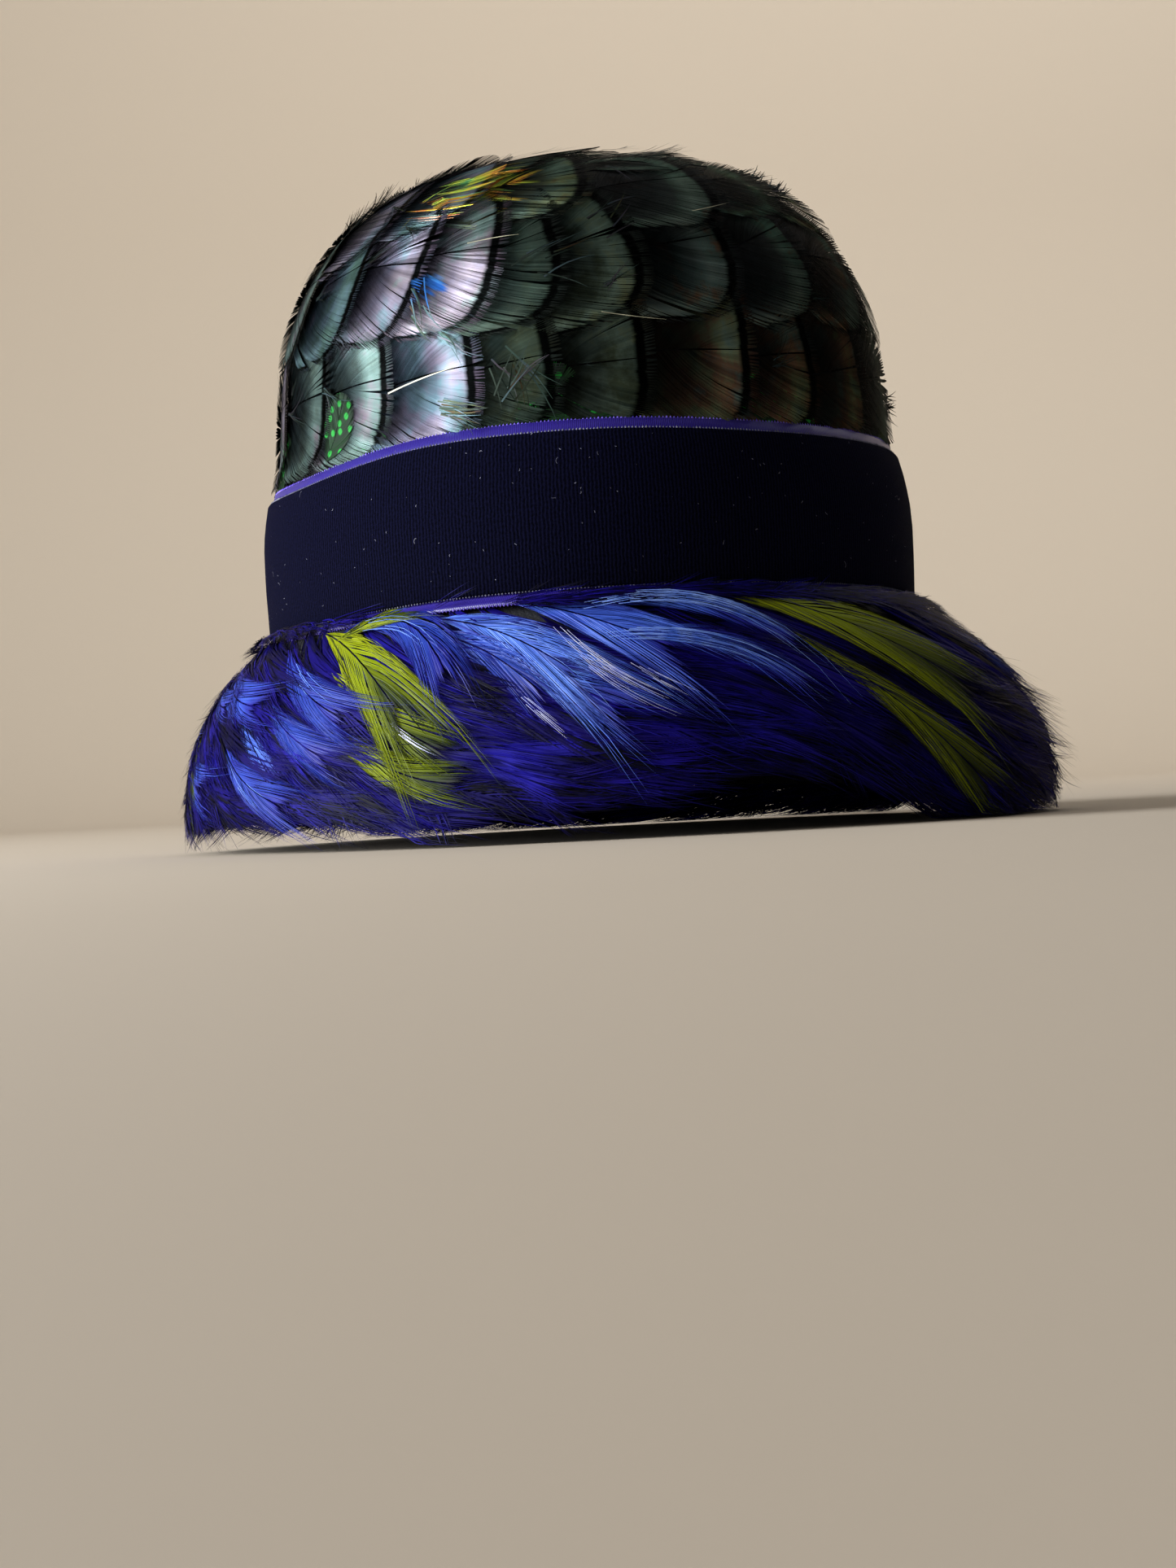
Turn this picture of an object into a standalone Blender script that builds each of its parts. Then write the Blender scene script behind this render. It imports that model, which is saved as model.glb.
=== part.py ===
# A feather cloche hat.
# A stiff oval crown stands on a short flared brim. Broad dark feathers cover the crown in
# rows, laid sideways. Blue hackle feathers cover the brim, with a few green ones on them.
# A velvet ribbon over a wider satin one hides where crown and brim meet.
# The front faces -Y, and +X is the viewer's right. An angle runs from the front towards +X,
# in degrees in the tables and in radians in the functions. All lengths are in metres.

from math import radians, tan

import bmesh
import bpy
import numpy as np
from mathutils import Matrix

# The head opening. Its length over its width is the same all the way up the crown.
OVAL = 1.185
HEADLINE_Z = 0.0560
HEADLINE_R = 0.0820
WALL = 0.0020
SIDES = 48

# The dome is a superellipse that stands on a short upright stretch above the band.
DOME_BASE_Z = 0.1000
DOME_R = 0.0782
DOME_HEIGHT = 0.0730
DOME_POWER = 2.7
DOME_TURNS = (0, 14, 28, 42, 54, 65, 75, 83, 90)

# Half the foundation's width under the ribbons, which belly out a little.
BAND_ROWS = (
    # height, radius
    (HEADLINE_Z, HEADLINE_R),
    (0.0840, 0.0822),
    (0.0945, 0.0790),
    (DOME_BASE_Z, DOME_R),
)

# The brim widens by these amounts at the side and at the front, all within its depth.
BRIM_DEPTH = 0.0465
FLARE_SIDE = 0.0275
FLARE_FRONT = 0.0260
SIDE_PUSH = 0.0030

# The whole hat leans back by this much as it stands, and is set over to this side so that
# its middle comes to the origin.
LEAN = radians(1.7)
SET_OVER = -0.0045

# Clearance between neighbours, and the joint between one row of feathers and the next.
GAP = 0.0003
ROW_JOINT = radians(0.4)

# How far the lower edge stands off the floor, by the angle from the front. It arches over
# the brow, and the side at -X stands a little higher than the other.
EDGE_LIFT = (
    # angle, lift
    (-180, 0.0040),
    (-150, 0.0070),
    (-60, 0.0070),
    (-44, 0.0085),
    (-24, 0.0045),
    (-16, 0.0085),
    (-2, 0.0070),
    (8, 0.0115),
    (19, 0.0150),
    (26, 0.0130),
    (36, 0.0070),
    (46, 0.0000),
    (140, 0.0000),
    (180, 0.0040),
)

# The hackle skirt from its roots to its tips. Share is how far down the brim a row lies,
# inner and outer are its distances from the brim, and relief is how far a lock stands up.
LOCKS = 36
LOCK_SWEEP = radians(30)
NOTCH_SHARE = 0.91
SHORT_LOCK_SHARE = 0.965
LONG_LOCKS = (18, 20, 22, 24, 26)
SIDE_FLUFF = 0.45
SKIRT_ROWS = (
    # share, inner, outer, relief
    (0.00, 0.0003, 0.0011, 0.0000),
    (0.17, 0.0008, 0.0024, 0.0008),
    (0.38, 0.0008, 0.0040, 0.0012),
    (0.62, 0.0008, 0.0048, 0.0014),
    (0.82, 0.0008, 0.0048, 0.0014),
    (1.00, 0.0008, 0.0038, 0.0010),
)

# One feather or lock across: it rises from its covered edge to its free edge, then drops.
VANE_COLUMNS = (
    # share of the width, share of the rise
    (0.00, 0.00),
    (0.50, 0.55),
    (0.93, 1.00),
)

# The rows of crown feathers. Turn is the climb over the dome, 0 at its base and 90 on top.
CROWN_ROWS = (
    # name, feathers, lower turn, upper turn, angle of one tip, steps up
    ("crown_feathers_lower", 22, 0.0, 15.5, -1.5, 3),
    ("crown_feathers_middle", 20, 15.5, 45.0, -2.4, 4),
    ("crown_feathers_upper", 14, 45.0, 66.0, 5.0, 3),
    ("crown_feathers_top", 8, 66.0, 90.0, 12.0, 4),
)
FEATHER_INNER = 0.0008
FEATHER_BASE = 0.0011
FEATHER_RISE = 0.0012
FEATHER_OVERHANG = 0.0006
TIP_BULGE = 0.35

# The ribbons and the speckled feathers between them and the crown.
VELVET_BOTTOM_Z = 0.0568
VELVET_TOP_Z = 0.0948
VELVET_THICKNESS = 0.0009
VELVET_ROUND = 0.0005
SATIN_KINK_Z = 0.0564
SATIN_BOTTOM_Z = 0.0537
SATIN_BOTTOM_R = 0.0875
SATIN_TOP_Z = 0.0977
SATIN_THICKNESS = 0.0004
SATIN_INNER = 0.0012
SPECKLED_THICKNESS = 0.0005
SPECKLED_BOTTOM_Z = 0.0925
SPECKLED_LOW_Z = 0.0978
SPECKLED_HIGH_Z = 0.0992

# The green hackles that lie on the blue ones. Shares are the way down the brim.
GREEN_HACKLES = (
    # root angle, root share, sweep, tip share, width
    (-50, 0.10, 34, 0.80, 0.0110),
    (-45, 0.50, 31, 0.97, 0.0090),
    (-96, 0.45, 20, 0.95, 0.0080),
    (20, 0.08, 44, 0.70, 0.0120),
    (35, 0.45, 21, 0.98, 0.0110),
    (100, 0.10, 36, 0.80, 0.0110),
    (104, 0.50, 32, 0.96, 0.0090),
    (172, 0.12, 38, 0.84, 0.0110),
    (-142, 0.20, 34, 0.92, 0.0100),
)
GREEN_STATIONS = 8
GREEN_THICKNESS = 0.0010
GREEN_CLEARANCE = 0.0004

# Colour, roughness and metallic value of each material.
FINISHES = {
    "dark_iridescent_feather": ((0.012, 0.018, 0.016), 0.42, 0.20),
    "speckled_green_feather": ((0.010, 0.060, 0.020), 0.60, 0.00),
    "blue_hackle": ((0.020, 0.018, 0.350), 0.50, 0.00),
    "chartreuse_hackle": ((0.230, 0.300, 0.010), 0.50, 0.00),
    "navy_velvet": ((0.003, 0.003, 0.012), 0.95, 0.00),
    "violet_satin": ((0.070, 0.035, 0.420), 0.32, 0.00),
    "black_stiffened_cloth": ((0.010, 0.010, 0.014), 0.85, 0.00),
}


def clear_scene():
    for obj in list(bpy.data.objects):
        bpy.data.objects.remove(obj, do_unlink=True)


def material(name):
    colour, roughness, metallic = FINISHES[name]
    made = bpy.data.materials.get(name)
    if made is None:
        made = bpy.data.materials.new(name)
        made.use_nodes = True
        shader = made.node_tree.nodes["Principled BSDF"]
        shader.inputs["Base Color"].default_value = (*colour, 1.0)
        shader.inputs["Roughness"].default_value = roughness
        shader.inputs["Metallic"].default_value = metallic
    return made


def add_piece(name, mesh, finish, hat):
    """One piece of the hat, under the empty that leans the whole hat back."""
    mesh.name = name
    mesh.materials.append(material(finish))
    mesh.shade_smooth()
    mesh.set_sharp_from_angle(angle=radians(35))
    piece = bpy.data.objects.new(name, mesh)
    bpy.data.collections["feather_cloche_hat"].objects.link(piece)
    piece.parent = hat
    return piece


def mesh_of(points, faces):
    """A mesh with its faces turned outwards."""
    mesh = bpy.data.meshes.new("loft")
    mesh.from_pydata(points.tolist(), [], faces)
    work = bmesh.new()
    work.from_mesh(mesh)
    bmesh.ops.recalc_face_normals(work, faces=work.faces)
    work.to_mesh(mesh)
    work.free()
    return mesh


def ring_quads(low_row, high_row):
    """Quads between two closed rows of vertex numbers, one for each column."""
    return [
        (low, next_low, next_high, high)
        for low, next_low, next_high, high in zip(
            low_row, np.roll(low_row, -1), np.roll(high_row, -1), high_row
        )
    ]


def band_mesh(outer, inner):
    """A closed ring between two grids of rows by columns, whose columns run right round."""
    rows, columns = outer.shape[:2]
    numbers = np.arange(rows * columns).reshape(rows, columns)
    faces = []
    for row in range(rows - 1):
        faces += ring_quads(numbers[row], numbers[row + 1])
        faces += ring_quads(numbers[row + 1] + numbers.size, numbers[row] + numbers.size)
    for row in (0, rows - 1):
        faces += ring_quads(numbers[row], numbers[row] + numbers.size)
    return mesh_of(np.concatenate([outer.reshape(-1, 3), inner.reshape(-1, 3)]), faces)


def cap_mesh(outer, inner, outer_top, inner_top):
    """A closed cap: two grids whose last rows are drawn in to a point each."""
    rows, columns = outer.shape[:2]
    numbers = np.arange(rows * columns).reshape(rows, columns)
    outer_point = 2 * numbers.size
    faces = []
    for row in range(rows - 1):
        faces += ring_quads(numbers[row], numbers[row + 1])
        faces += ring_quads(numbers[row + 1] + numbers.size, numbers[row] + numbers.size)
    faces += ring_quads(numbers[0], numbers[0] + numbers.size)
    last = numbers[-1]
    for here, after in zip(last, np.roll(last, -1)):
        faces.append((here, after, outer_point))
        faces.append((after + numbers.size, here + numbers.size, outer_point + 1))
    points = [outer.reshape(-1, 3), inner.reshape(-1, 3), outer_top[None], inner_top[None]]
    return mesh_of(np.concatenate(points), faces)


def turned_mesh(profile, closed):
    """A profile of radii and heights turned about Z, then drawn out to the head's oval."""
    points = [(radius, 0.0, height) for radius, height in profile]
    edges = [(k, k + 1) for k in range(len(points) - 1)]
    if closed:
        edges.append((len(points) - 1, 0))
    line = bpy.data.meshes.new("profile")
    line.from_pydata(points, edges, [])
    guide = bpy.data.objects.new("profile", line)
    bpy.context.scene.collection.objects.link(guide)
    screw = guide.modifiers.new("turn", "SCREW")
    screw.steps = SIDES
    screw.render_steps = SIDES
    screw.use_merge_vertices = True
    screw.merge_threshold = 0.00001
    graph = bpy.context.evaluated_depsgraph_get()
    mesh = bpy.data.meshes.new_from_object(guide.evaluated_get(graph))
    bpy.data.objects.remove(guide, do_unlink=True)
    mesh.transform(Matrix.Diagonal((1.0, OVAL, 1.0, 1.0)))
    return mesh


def add_wall(piece):
    """Gives an open sheet the stiffened cloth's thickness, towards the head."""
    wall = piece.modifiers.new("wall", "SOLIDIFY")
    wall.thickness = WALL
    wall.offset = -1.0


def band_radius(height):
    """Half the foundation's width between the headline and the dome."""
    heights, radii = zip(*BAND_ROWS)
    return np.interp(height, heights, radii)


def band_line(bottom, top, lift):
    """Radii and heights from top to bottom, standing off the foundation by lift."""
    between = [height for height, _ in BAND_ROWS if bottom < height < top]
    return [(band_radius(height) + lift, height) for height in (top, *reversed(between), bottom)]


def dome_points(angle, turn, lift):
    """Points that stand off the dome by lift, at an angle round it and a turn up it."""
    across = np.clip(np.cos(turn), 0.0, 1.0) ** (2 / DOME_POWER)
    up = np.sin(turn) ** (2 / DOME_POWER)
    x = (DOME_R + lift) * across * np.sin(angle)
    y = -(DOME_R * OVAL + lift) * across * np.cos(angle)
    z = DOME_BASE_Z + (DOME_HEIGHT + lift) * up
    return np.stack(np.broadcast_arrays(x, y, z), axis=-1)


def edge_lift(angle):
    """How far the lower edge stands off the floor."""
    table = np.array(EDGE_LIFT)
    turned = (np.degrees(angle) + 180) % 360 - 180
    return np.interp(turned, table[:, 0], table[:, 1])


def brim_points(angle, share, lift, rise=None):
    """Points that stand off the brim by lift, at a share of the way from headline to edge.

    The brim leaves the headline steeply and ends upright. Height follows the lean, so that
    edges with no rise lie in one level plane once the hat leans back.
    """
    rise = edge_lift(angle) if rise is None else rise
    fall = share * (HEADLINE_Z - rise) / BRIM_DEPTH
    flare = 1 - (1 - fall) ** 2
    x = (HEADLINE_R + lift + FLARE_SIDE * flare) * np.sin(angle) + SIDE_PUSH * flare**2
    y = -(HEADLINE_R * OVAL + lift + FLARE_FRONT * flare) * np.cos(angle)
    floor = y * tan(LEAN)
    z = (1 - share) * HEADLINE_Z + share * (floor + rise)
    return np.stack(np.broadcast_arrays(x, y, z), axis=-1)


def vane_columns(count):
    """Columns right round for count feathers: number of the feather, its share, its rise."""
    width_share, rise_share = np.array(VANE_COLUMNS).T
    feather = np.repeat(np.arange(count), len(VANE_COLUMNS))
    return feather, np.tile(width_share, count), np.tile(rise_share, count)


def crown_shell(hat):
    """The stiff dome that carries the crown's feathers, open below."""
    turns = np.radians(DOME_TURNS)[::-1]
    dome = dome_points(np.pi / 2, turns, 0.0)
    dome[0, 0] = 0.0
    profile = [(x, z) for x, _, z in dome[:-1]]
    profile += band_line(HEADLINE_Z + GAP / 2, DOME_BASE_Z, 0.0)
    piece = add_piece("crown_shell", turned_mesh(profile, False), "black_stiffened_cloth", hat)
    add_wall(piece)


def brim_shell(hat):
    """The stiff flared ring that the hackles are sewn to."""
    shares = np.array([row[0] for row in SKIRT_ROWS[:-1]])
    shares[0] = GAP / 2 / HEADLINE_Z
    angles = np.arange(SIDES) * (2 * np.pi / SIDES)
    sheet = brim_points(angles[None, :], shares[:, None], 0.0)
    numbers = np.arange(sheet[..., 0].size).reshape(sheet.shape[:2])
    faces = []
    for low, high in zip(numbers[1:], numbers[:-1]):
        faces += ring_quads(low, high)
    mesh = bpy.data.meshes.new("sheet")
    mesh.from_pydata(sheet.reshape(-1, 3).tolist(), [], faces)
    piece = add_piece("brim_shell", mesh, "black_stiffened_cloth", hat)
    add_wall(piece)


def satin_ribbon(hat):
    """The wider ribbon underneath. Its lower edge is pushed out by the hackles' roots."""
    outer = band_line(SATIN_KINK_Z, SATIN_TOP_Z, SATIN_INNER + SATIN_THICKNESS)
    outer.append((SATIN_BOTTOM_R, SATIN_BOTTOM_Z))
    inner = [(radius - SATIN_THICKNESS, height) for radius, height in reversed(outer)]
    add_piece("satin_ribbon", turned_mesh(outer + inner, True), "violet_satin", hat)


def velvet_ribbon(hat):
    """The velvet ribbon, with softly rounded edges."""
    lift = SATIN_INNER + SATIN_THICKNESS + GAP
    shoulder = lift + VELVET_THICKNESS - VELVET_ROUND / 2
    low, high = VELVET_BOTTOM_Z + VELVET_ROUND, VELVET_TOP_Z - VELVET_ROUND
    face = band_line(low, high, lift + VELVET_THICKNESS)
    outer = [
        (band_radius(VELVET_TOP_Z) + shoulder, VELVET_TOP_Z),
        *face,
        (band_radius(VELVET_BOTTOM_Z) + shoulder, VELVET_BOTTOM_Z),
    ]
    inner = band_line(VELVET_BOTTOM_Z, VELVET_TOP_Z, lift)
    profile = outer + inner[::-1]
    add_piece("velvet_ribbon", turned_mesh(profile, True), "navy_velvet", hat)


def speckled_feathers(hat):
    """Short spotted feathers whose tips peep out above the ribbons in small points."""
    angles = np.arange(SIDES) * (2 * np.pi / SIDES)
    tops = np.where(np.arange(SIDES) % 2 == 0, SPECKLED_HIGH_Z, SPECKLED_LOW_Z)
    heights = np.stack([np.full(SIDES, SPECKLED_BOTTOM_Z), tops])

    def ring(lift):
        radius = band_radius(heights) + lift
        x = radius * np.sin(angles)
        y = -radius * OVAL * np.cos(angles)
        return np.stack([x, y, heights], axis=-1)

    mesh = band_mesh(ring(GAP + SPECKLED_THICKNESS), ring(GAP))
    add_piece("speckled_feathers", mesh, "speckled_green_feather", hat)


def crown_row(hat, name, count, low_turn, high_turn, tip_angle, steps):
    """One row of feathers laid sideways round the crown, each lapping over the next.

    Their free edges bow out towards +X at the front, and the row's lower edge stands
    proud of the row below.
    """
    feather, share, rise = vane_columns(count)
    pitch = 2 * np.pi / count
    start = radians(tip_angle) - VANE_COLUMNS[-1][0] * pitch
    top_row = high_turn == 90.0
    climb = np.linspace(0.0, 1.0, steps + 1)[:, None]
    if top_row:
        climb = climb[:-1]
    bow = TIP_BULGE * pitch * (1 - (2 * climb - 1) ** 2)
    angles = start + (feather + share)[None, :] * pitch + bow
    low = radians(low_turn) + (ROW_JOINT / 2 if low_turn > 0 else 0.0)
    high = radians(high_turn) - (0.0 if top_row else ROW_JOINT / 2)
    turns = low + (high - low) * climb
    lift = FEATHER_BASE + FEATHER_OVERHANG * (1 - climb)
    lift = lift + FEATHER_RISE * (1 - climb / 2) * rise[None, :]
    outer = dome_points(angles, turns, lift)
    inner = dome_points(angles, turns, FEATHER_INNER)
    if top_row:
        outer_top = dome_points(0.0, high, FEATHER_BASE)
        inner_top = dome_points(0.0, high, FEATHER_INNER)
        mesh = cap_mesh(outer, inner, outer_top, inner_top)
    else:
        mesh = band_mesh(outer, inner)
    add_piece(name, mesh, "dark_iridescent_feather", hat)


def skirt_lift(angle, share):
    """How far the locks' outer side stands off the brim, and how far their free edges rise.

    The sweep fluffs them up on the side at +X and presses them down on the other.
    """
    down, _, outer, relief = np.array(SKIRT_ROWS).T
    fluff = 1 + SIDE_FLUFF * np.sin(angle) * np.interp(share, down[:2], (0.0, 1.0))
    return np.interp(share, down, outer) * fluff, np.interp(share, down, relief)


def hackle_skirt(hat):
    """The hackles as one skirt of swept locks.

    Every second lock ends at the lower edge, and the others above it. A few long ones
    reach on to the floor where the edge stands off it.
    """
    lock, share, rise = vane_columns(LOCKS)
    down, inner_lift = np.array(SKIRT_ROWS).T[:2, :, None]
    pitch = 2 * np.pi / LOCKS
    angles = (lock + share)[None, :] * pitch + LOCK_SWEEP * down
    ends = np.where(lock % 2 == 0, 1.0, SHORT_LOCK_SHARE)
    ends = np.where(share == 0.0, NOTCH_SHARE, ends)
    shares = np.broadcast_to(down, angles.shape).copy()
    shares[-1] = ends
    edge_rise = edge_lift(angles)
    edge_rise[-1] = np.where(np.isin(lock, LONG_LOCKS) & (share > 0.0), 0.0, edge_rise[-1])
    outer_lift, relief = skirt_lift(angles, down)
    outer = brim_points(angles, shares, outer_lift + relief * rise[None, :], edge_rise)
    inner = brim_points(angles, shares, inner_lift, edge_rise)
    add_piece("hackle_skirt", band_mesh(outer, inner), "blue_hackle", hat)


def green_hackle(hat, name, root_angle, root_share, sweep, tip_share, width):
    """One green hackle: a leaf with a low ridge, pointed at both ends, on the blue ones."""
    along = np.linspace(0.0, 1.0, GREEN_STATIONS)
    angle = radians(root_angle) + radians(sweep) * along
    share = root_share + (tip_share - root_share) * along
    half = width / 2 * np.sin(np.pi * along**0.75)
    # Across the leaf, its edges lie at right angles to its run down the brim.
    reach = HEADLINE_R + FLARE_SIDE
    run = np.array([radians(sweep) * reach, (tip_share - root_share) * HEADLINE_Z])
    run = run / np.linalg.norm(run)
    turn_across = half * run[1] / reach
    share_across = -half * run[0] / HEADLINE_Z

    def edge(side, extra):
        at = share + side * share_across
        turned = angle + side * turn_across
        return brim_points(turned, at, sum(skirt_lift(turned, at)) + GREEN_CLEARANCE + extra)

    middle = GREEN_THICKNESS / 2
    grid = np.stack(
        [edge(-1, middle), edge(0, GREEN_THICKNESS), edge(1, middle), edge(0, 0.0)], axis=1
    )
    body = grid[1:-1]
    numbers = np.arange(body[..., 0].size).reshape(body.shape[:2])
    root, tip = numbers.size, numbers.size + 1
    faces = []
    for low, high in zip(numbers[:-1], numbers[1:]):
        faces += ring_quads(low, high)
    for here, after in zip(numbers[0], np.roll(numbers[0], -1)):
        faces.append((after, here, root))
    for here, after in zip(numbers[-1], np.roll(numbers[-1], -1)):
        faces.append((here, after, tip))
    ends = np.stack([grid[0, 1], grid[-1, 1]])
    mesh = mesh_of(np.concatenate([body.reshape(-1, 3), ends]), faces)
    add_piece(name, mesh, "chartreuse_hackle", hat)


def main():
    clear_scene()
    collection = bpy.data.collections.new("feather_cloche_hat")
    bpy.context.scene.collection.children.link(collection)
    hat = bpy.data.objects.new("hat", None)
    collection.objects.link(hat)
    hat.rotation_euler.x = -LEAN
    hat.location.x = SET_OVER
    crown_shell(hat)
    brim_shell(hat)
    satin_ribbon(hat)
    velvet_ribbon(hat)
    speckled_feathers(hat)
    for row in CROWN_ROWS:
        crown_row(hat, *row)
    hackle_skirt(hat)
    for number, row in enumerate(GREEN_HACKLES, start=1):
        green_hackle(hat, f"green_hackle_{number:02d}", *row)


main()
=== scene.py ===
from math import radians

import bpy
import numpy as np
from mathutils import Matrix, Vector


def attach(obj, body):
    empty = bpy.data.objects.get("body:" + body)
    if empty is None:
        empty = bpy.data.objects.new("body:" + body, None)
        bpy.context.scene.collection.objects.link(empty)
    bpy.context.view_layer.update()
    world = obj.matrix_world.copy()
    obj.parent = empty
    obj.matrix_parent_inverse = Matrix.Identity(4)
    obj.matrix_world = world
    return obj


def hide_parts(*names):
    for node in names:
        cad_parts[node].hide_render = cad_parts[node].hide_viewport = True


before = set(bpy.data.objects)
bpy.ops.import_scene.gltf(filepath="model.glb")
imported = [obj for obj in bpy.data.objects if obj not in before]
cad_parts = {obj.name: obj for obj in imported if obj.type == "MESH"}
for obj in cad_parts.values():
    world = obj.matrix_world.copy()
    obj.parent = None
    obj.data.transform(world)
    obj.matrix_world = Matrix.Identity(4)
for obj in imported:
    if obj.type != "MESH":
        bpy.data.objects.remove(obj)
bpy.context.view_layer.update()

# The form under the feathers, with the same named values as the solids.
hatForm = dict(
    oval=1.185,            # length over width of the opening
    headlineZ=0.0560, headlineR=0.0820,
    domeBaseZ=0.1000, domeR=0.0782, domeHeight=0.0730, domePower=2.7,
    brimDepth=0.0465, flareSide=0.0275, flareFront=0.0260, sidePush=0.0030,
    leanDegrees=1.7, setOver=-0.0045,
    sideFluff=0.45,        # hackles stand higher on the +X side, by this share
)
# Heights of the band under the ribbons, and half its width there.
bandRows = np.array([
    (0.0560, 0.0820), (0.0660, 0.0824), (0.0760, 0.0825), (0.0820, 0.0821), (0.0880, 0.0811),
    (0.0920, 0.0801), (0.0960, 0.0790), (0.1000, 0.0782)])
# Angle, and the heights of the velvet ribbon's lower and upper edge.
ribbonRows = np.array([
    (-180, 0.0556, 0.0922), (-90, 0.0543, 0.0895), (-62, 0.0539, 0.0880), (-48, 0.0544, 0.0897),
    (-38, 0.0550, 0.0916), (-26, 0.0558, 0.0932), (-10, 0.0562, 0.0937), (8, 0.0563, 0.0938),
    (30, 0.0565, 0.0929), (55, 0.0567, 0.0930), (90, 0.0568, 0.0935), (180, 0.0556, 0.0922)])
# Angle, and how far the lower edge of the hackles stands off the floor.
edgeRows = np.array([
    (-180, 0.0010), (-150, 0.0020), (-110, 0.0070), (-60, 0.0070), (-44, 0.0085),
    (-24, 0.0045), (-16, 0.0085), (-2, 0.0070), (8, 0.0120), (19, 0.0165), (26, 0.0140),
    (36, 0.0080), (46, 0.0010), (60, 0.0000), (76, 0.0035), (110, 0.0035), (140, 0.0000),
    (180, 0.0010)])
tilt = radians(hatForm["leanDegrees"])


def leanBack(points):
    # Turns the hat back about the X axis by its lean, then sets it over to the side.
    x, y, z = np.moveaxis(points, -1, 0)
    y, z = y * np.cos(tilt) + z * np.sin(tilt), z * np.cos(tilt) - y * np.sin(tilt)
    return np.stack([x + hatForm["setOver"], y, z], axis=-1)


def bandRadius(height):
    # Half the width of the form under the ribbons, straight between measured heights.
    return np.interp(height, bandRows[:, 0], bandRows[:, 1])


def domeShares(x, y, z):
    # How far out (ring) and how far up (rise) a point lies, as shares of the dome's size.
    h = hatForm
    ring = np.hypot(x / h["domeR"], y / (h["domeR"] * h["oval"]))
    return ring, np.clip((z - h["domeBaseZ"]) / h["domeHeight"], 0.0, None)


def crownNormal(x, y, z):
    # The slope of ring^p + rise^p.
    h = hatForm
    ring, rise = domeShares(x, y, z)
    flat = ring ** (h["domePower"] - 2)
    slope = np.stack([flat * x / h["domeR"] ** 2, flat * y / (h["domeR"] * h["oval"]) ** 2,
                      rise ** (h["domePower"] - 1) / h["domeHeight"]], axis=-1)
    return slope / np.linalg.norm(slope, axis=-1, keepdims=True)


def crownSkin(points, lift):
    # Draws points towards the middle of the dome's base until ring^p + rise^p = 1, below the
    # dome only sideways until they meet the band, then moves them out along the normal by lift.
    h = hatForm
    x, y, z = np.moveaxis(points, -1, 0)
    ring, rise = domeShares(x, y, z)
    scale = (ring ** h["domePower"] + rise ** h["domePower"]) ** (-1 / h["domePower"])
    onDome = z > h["domeBaseZ"]
    scale = np.where(onDome, scale, scale * bandRadius(z) / h["domeR"])
    x, y = x * scale, y * scale
    z = np.where(onDome, h["domeBaseZ"] + (z - h["domeBaseZ"]) * scale, z)
    return np.stack([x, y, z], axis=-1) + crownNormal(x, y, z) * lift[..., None]


def crownPlace(angle, turn):
    # A point of the dome, across = cos(turn)^(2/p) and up = sin(turn)^(2/p), with the level
    # direction round the crown and the uphill one.
    h = hatForm
    across, up = np.cos(turn) ** (2 / h["domePower"]), np.sin(turn) ** (2 / h["domePower"])
    x, y = h["domeR"] * across * np.sin(angle), -h["domeR"] * h["oval"] * across * np.cos(angle)
    z = h["domeBaseZ"] + h["domeHeight"] * up
    level = np.stack([np.cos(angle), h["oval"] * np.sin(angle), np.zeros_like(angle)], axis=-1)
    level = level / np.linalg.norm(level, axis=-1, keepdims=True)
    return np.stack([x, y, z], axis=-1), level, np.cross(crownNormal(x, y, z), level)


def measuredRound(rows, column, angle, window):
    # Straight lines between the measured angles, rounded off by a running mean over an odd
    # number of degrees, and read at any angle.
    reach = window // 2
    degrees = np.arange(-180 - reach, 181 + reach)
    rough = np.interp((degrees + 180) % 360 - 180, rows[:, 0], rows[:, column])
    smooth = np.convolve(rough, np.ones(window) / window, mode="same")[reach:-reach]
    return np.interp((np.degrees(angle) + 180) % 360 - 180, degrees[reach:-reach], smooth)


def edgeLift(angle):
    # How far the lower edge of the hackles stands off the floor.
    return measuredRound(edgeRows, 1, angle, 9)


def ribbonEdges(angle):
    # The velvet's lower and upper edge: it was laid by hand and dips on the -X side.
    return [measuredRound(ribbonRows, column, angle, 17) for column in (1, 2)]


def brimSkin(angle, share, lift):
    # From the headline (share 0) to the lower edge (share 1). The flare is 1 - (1 - fall)^2,
    # the height runs straight to the leaning floor plus the edge's lift off it. Above the
    # headline, at shares below 0, the skin stands upright.
    h = hatForm
    rise = edgeLift(angle)
    fall = np.clip(share * (h["headlineZ"] - rise) / h["brimDepth"], 0.0, 1.05)
    flare = 1 - (1 - fall) ** 2
    x = (h["headlineR"] + lift + h["flareSide"] * flare) * np.sin(angle)
    y = -(h["headlineR"] * h["oval"] + lift + h["flareFront"] * flare) * np.cos(angle)
    z = (1 - share) * h["headlineZ"] + share * (y * np.tan(tilt) + rise)
    return np.stack([x + h["sidePush"] * flare ** 2, y, z], axis=-1)


def bandSkin(angle, height, lift):
    # The oval band: radius at that height plus lift, drawn out in length.
    radius = bandRadius(height) + lift
    oval = radius * hatForm["oval"]
    return np.stack([radius * np.sin(angle), -oval * np.cos(angle), height], axis=-1)


def aboveFloor(points, clearance=0.0004, soft=0.0012):
    # Tips that would pass through the floor bend level at the clearance above it, softly over
    # the last 1.2 mm: clearance + soft * exp(-depth / soft).
    z = points[..., 2]
    over = clearance + soft * np.exp(np.clip(z - clearance - soft, None, 0.0) / soft)
    points[..., 2] = np.where(z < clearance + soft, over, z)
    return points


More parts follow.
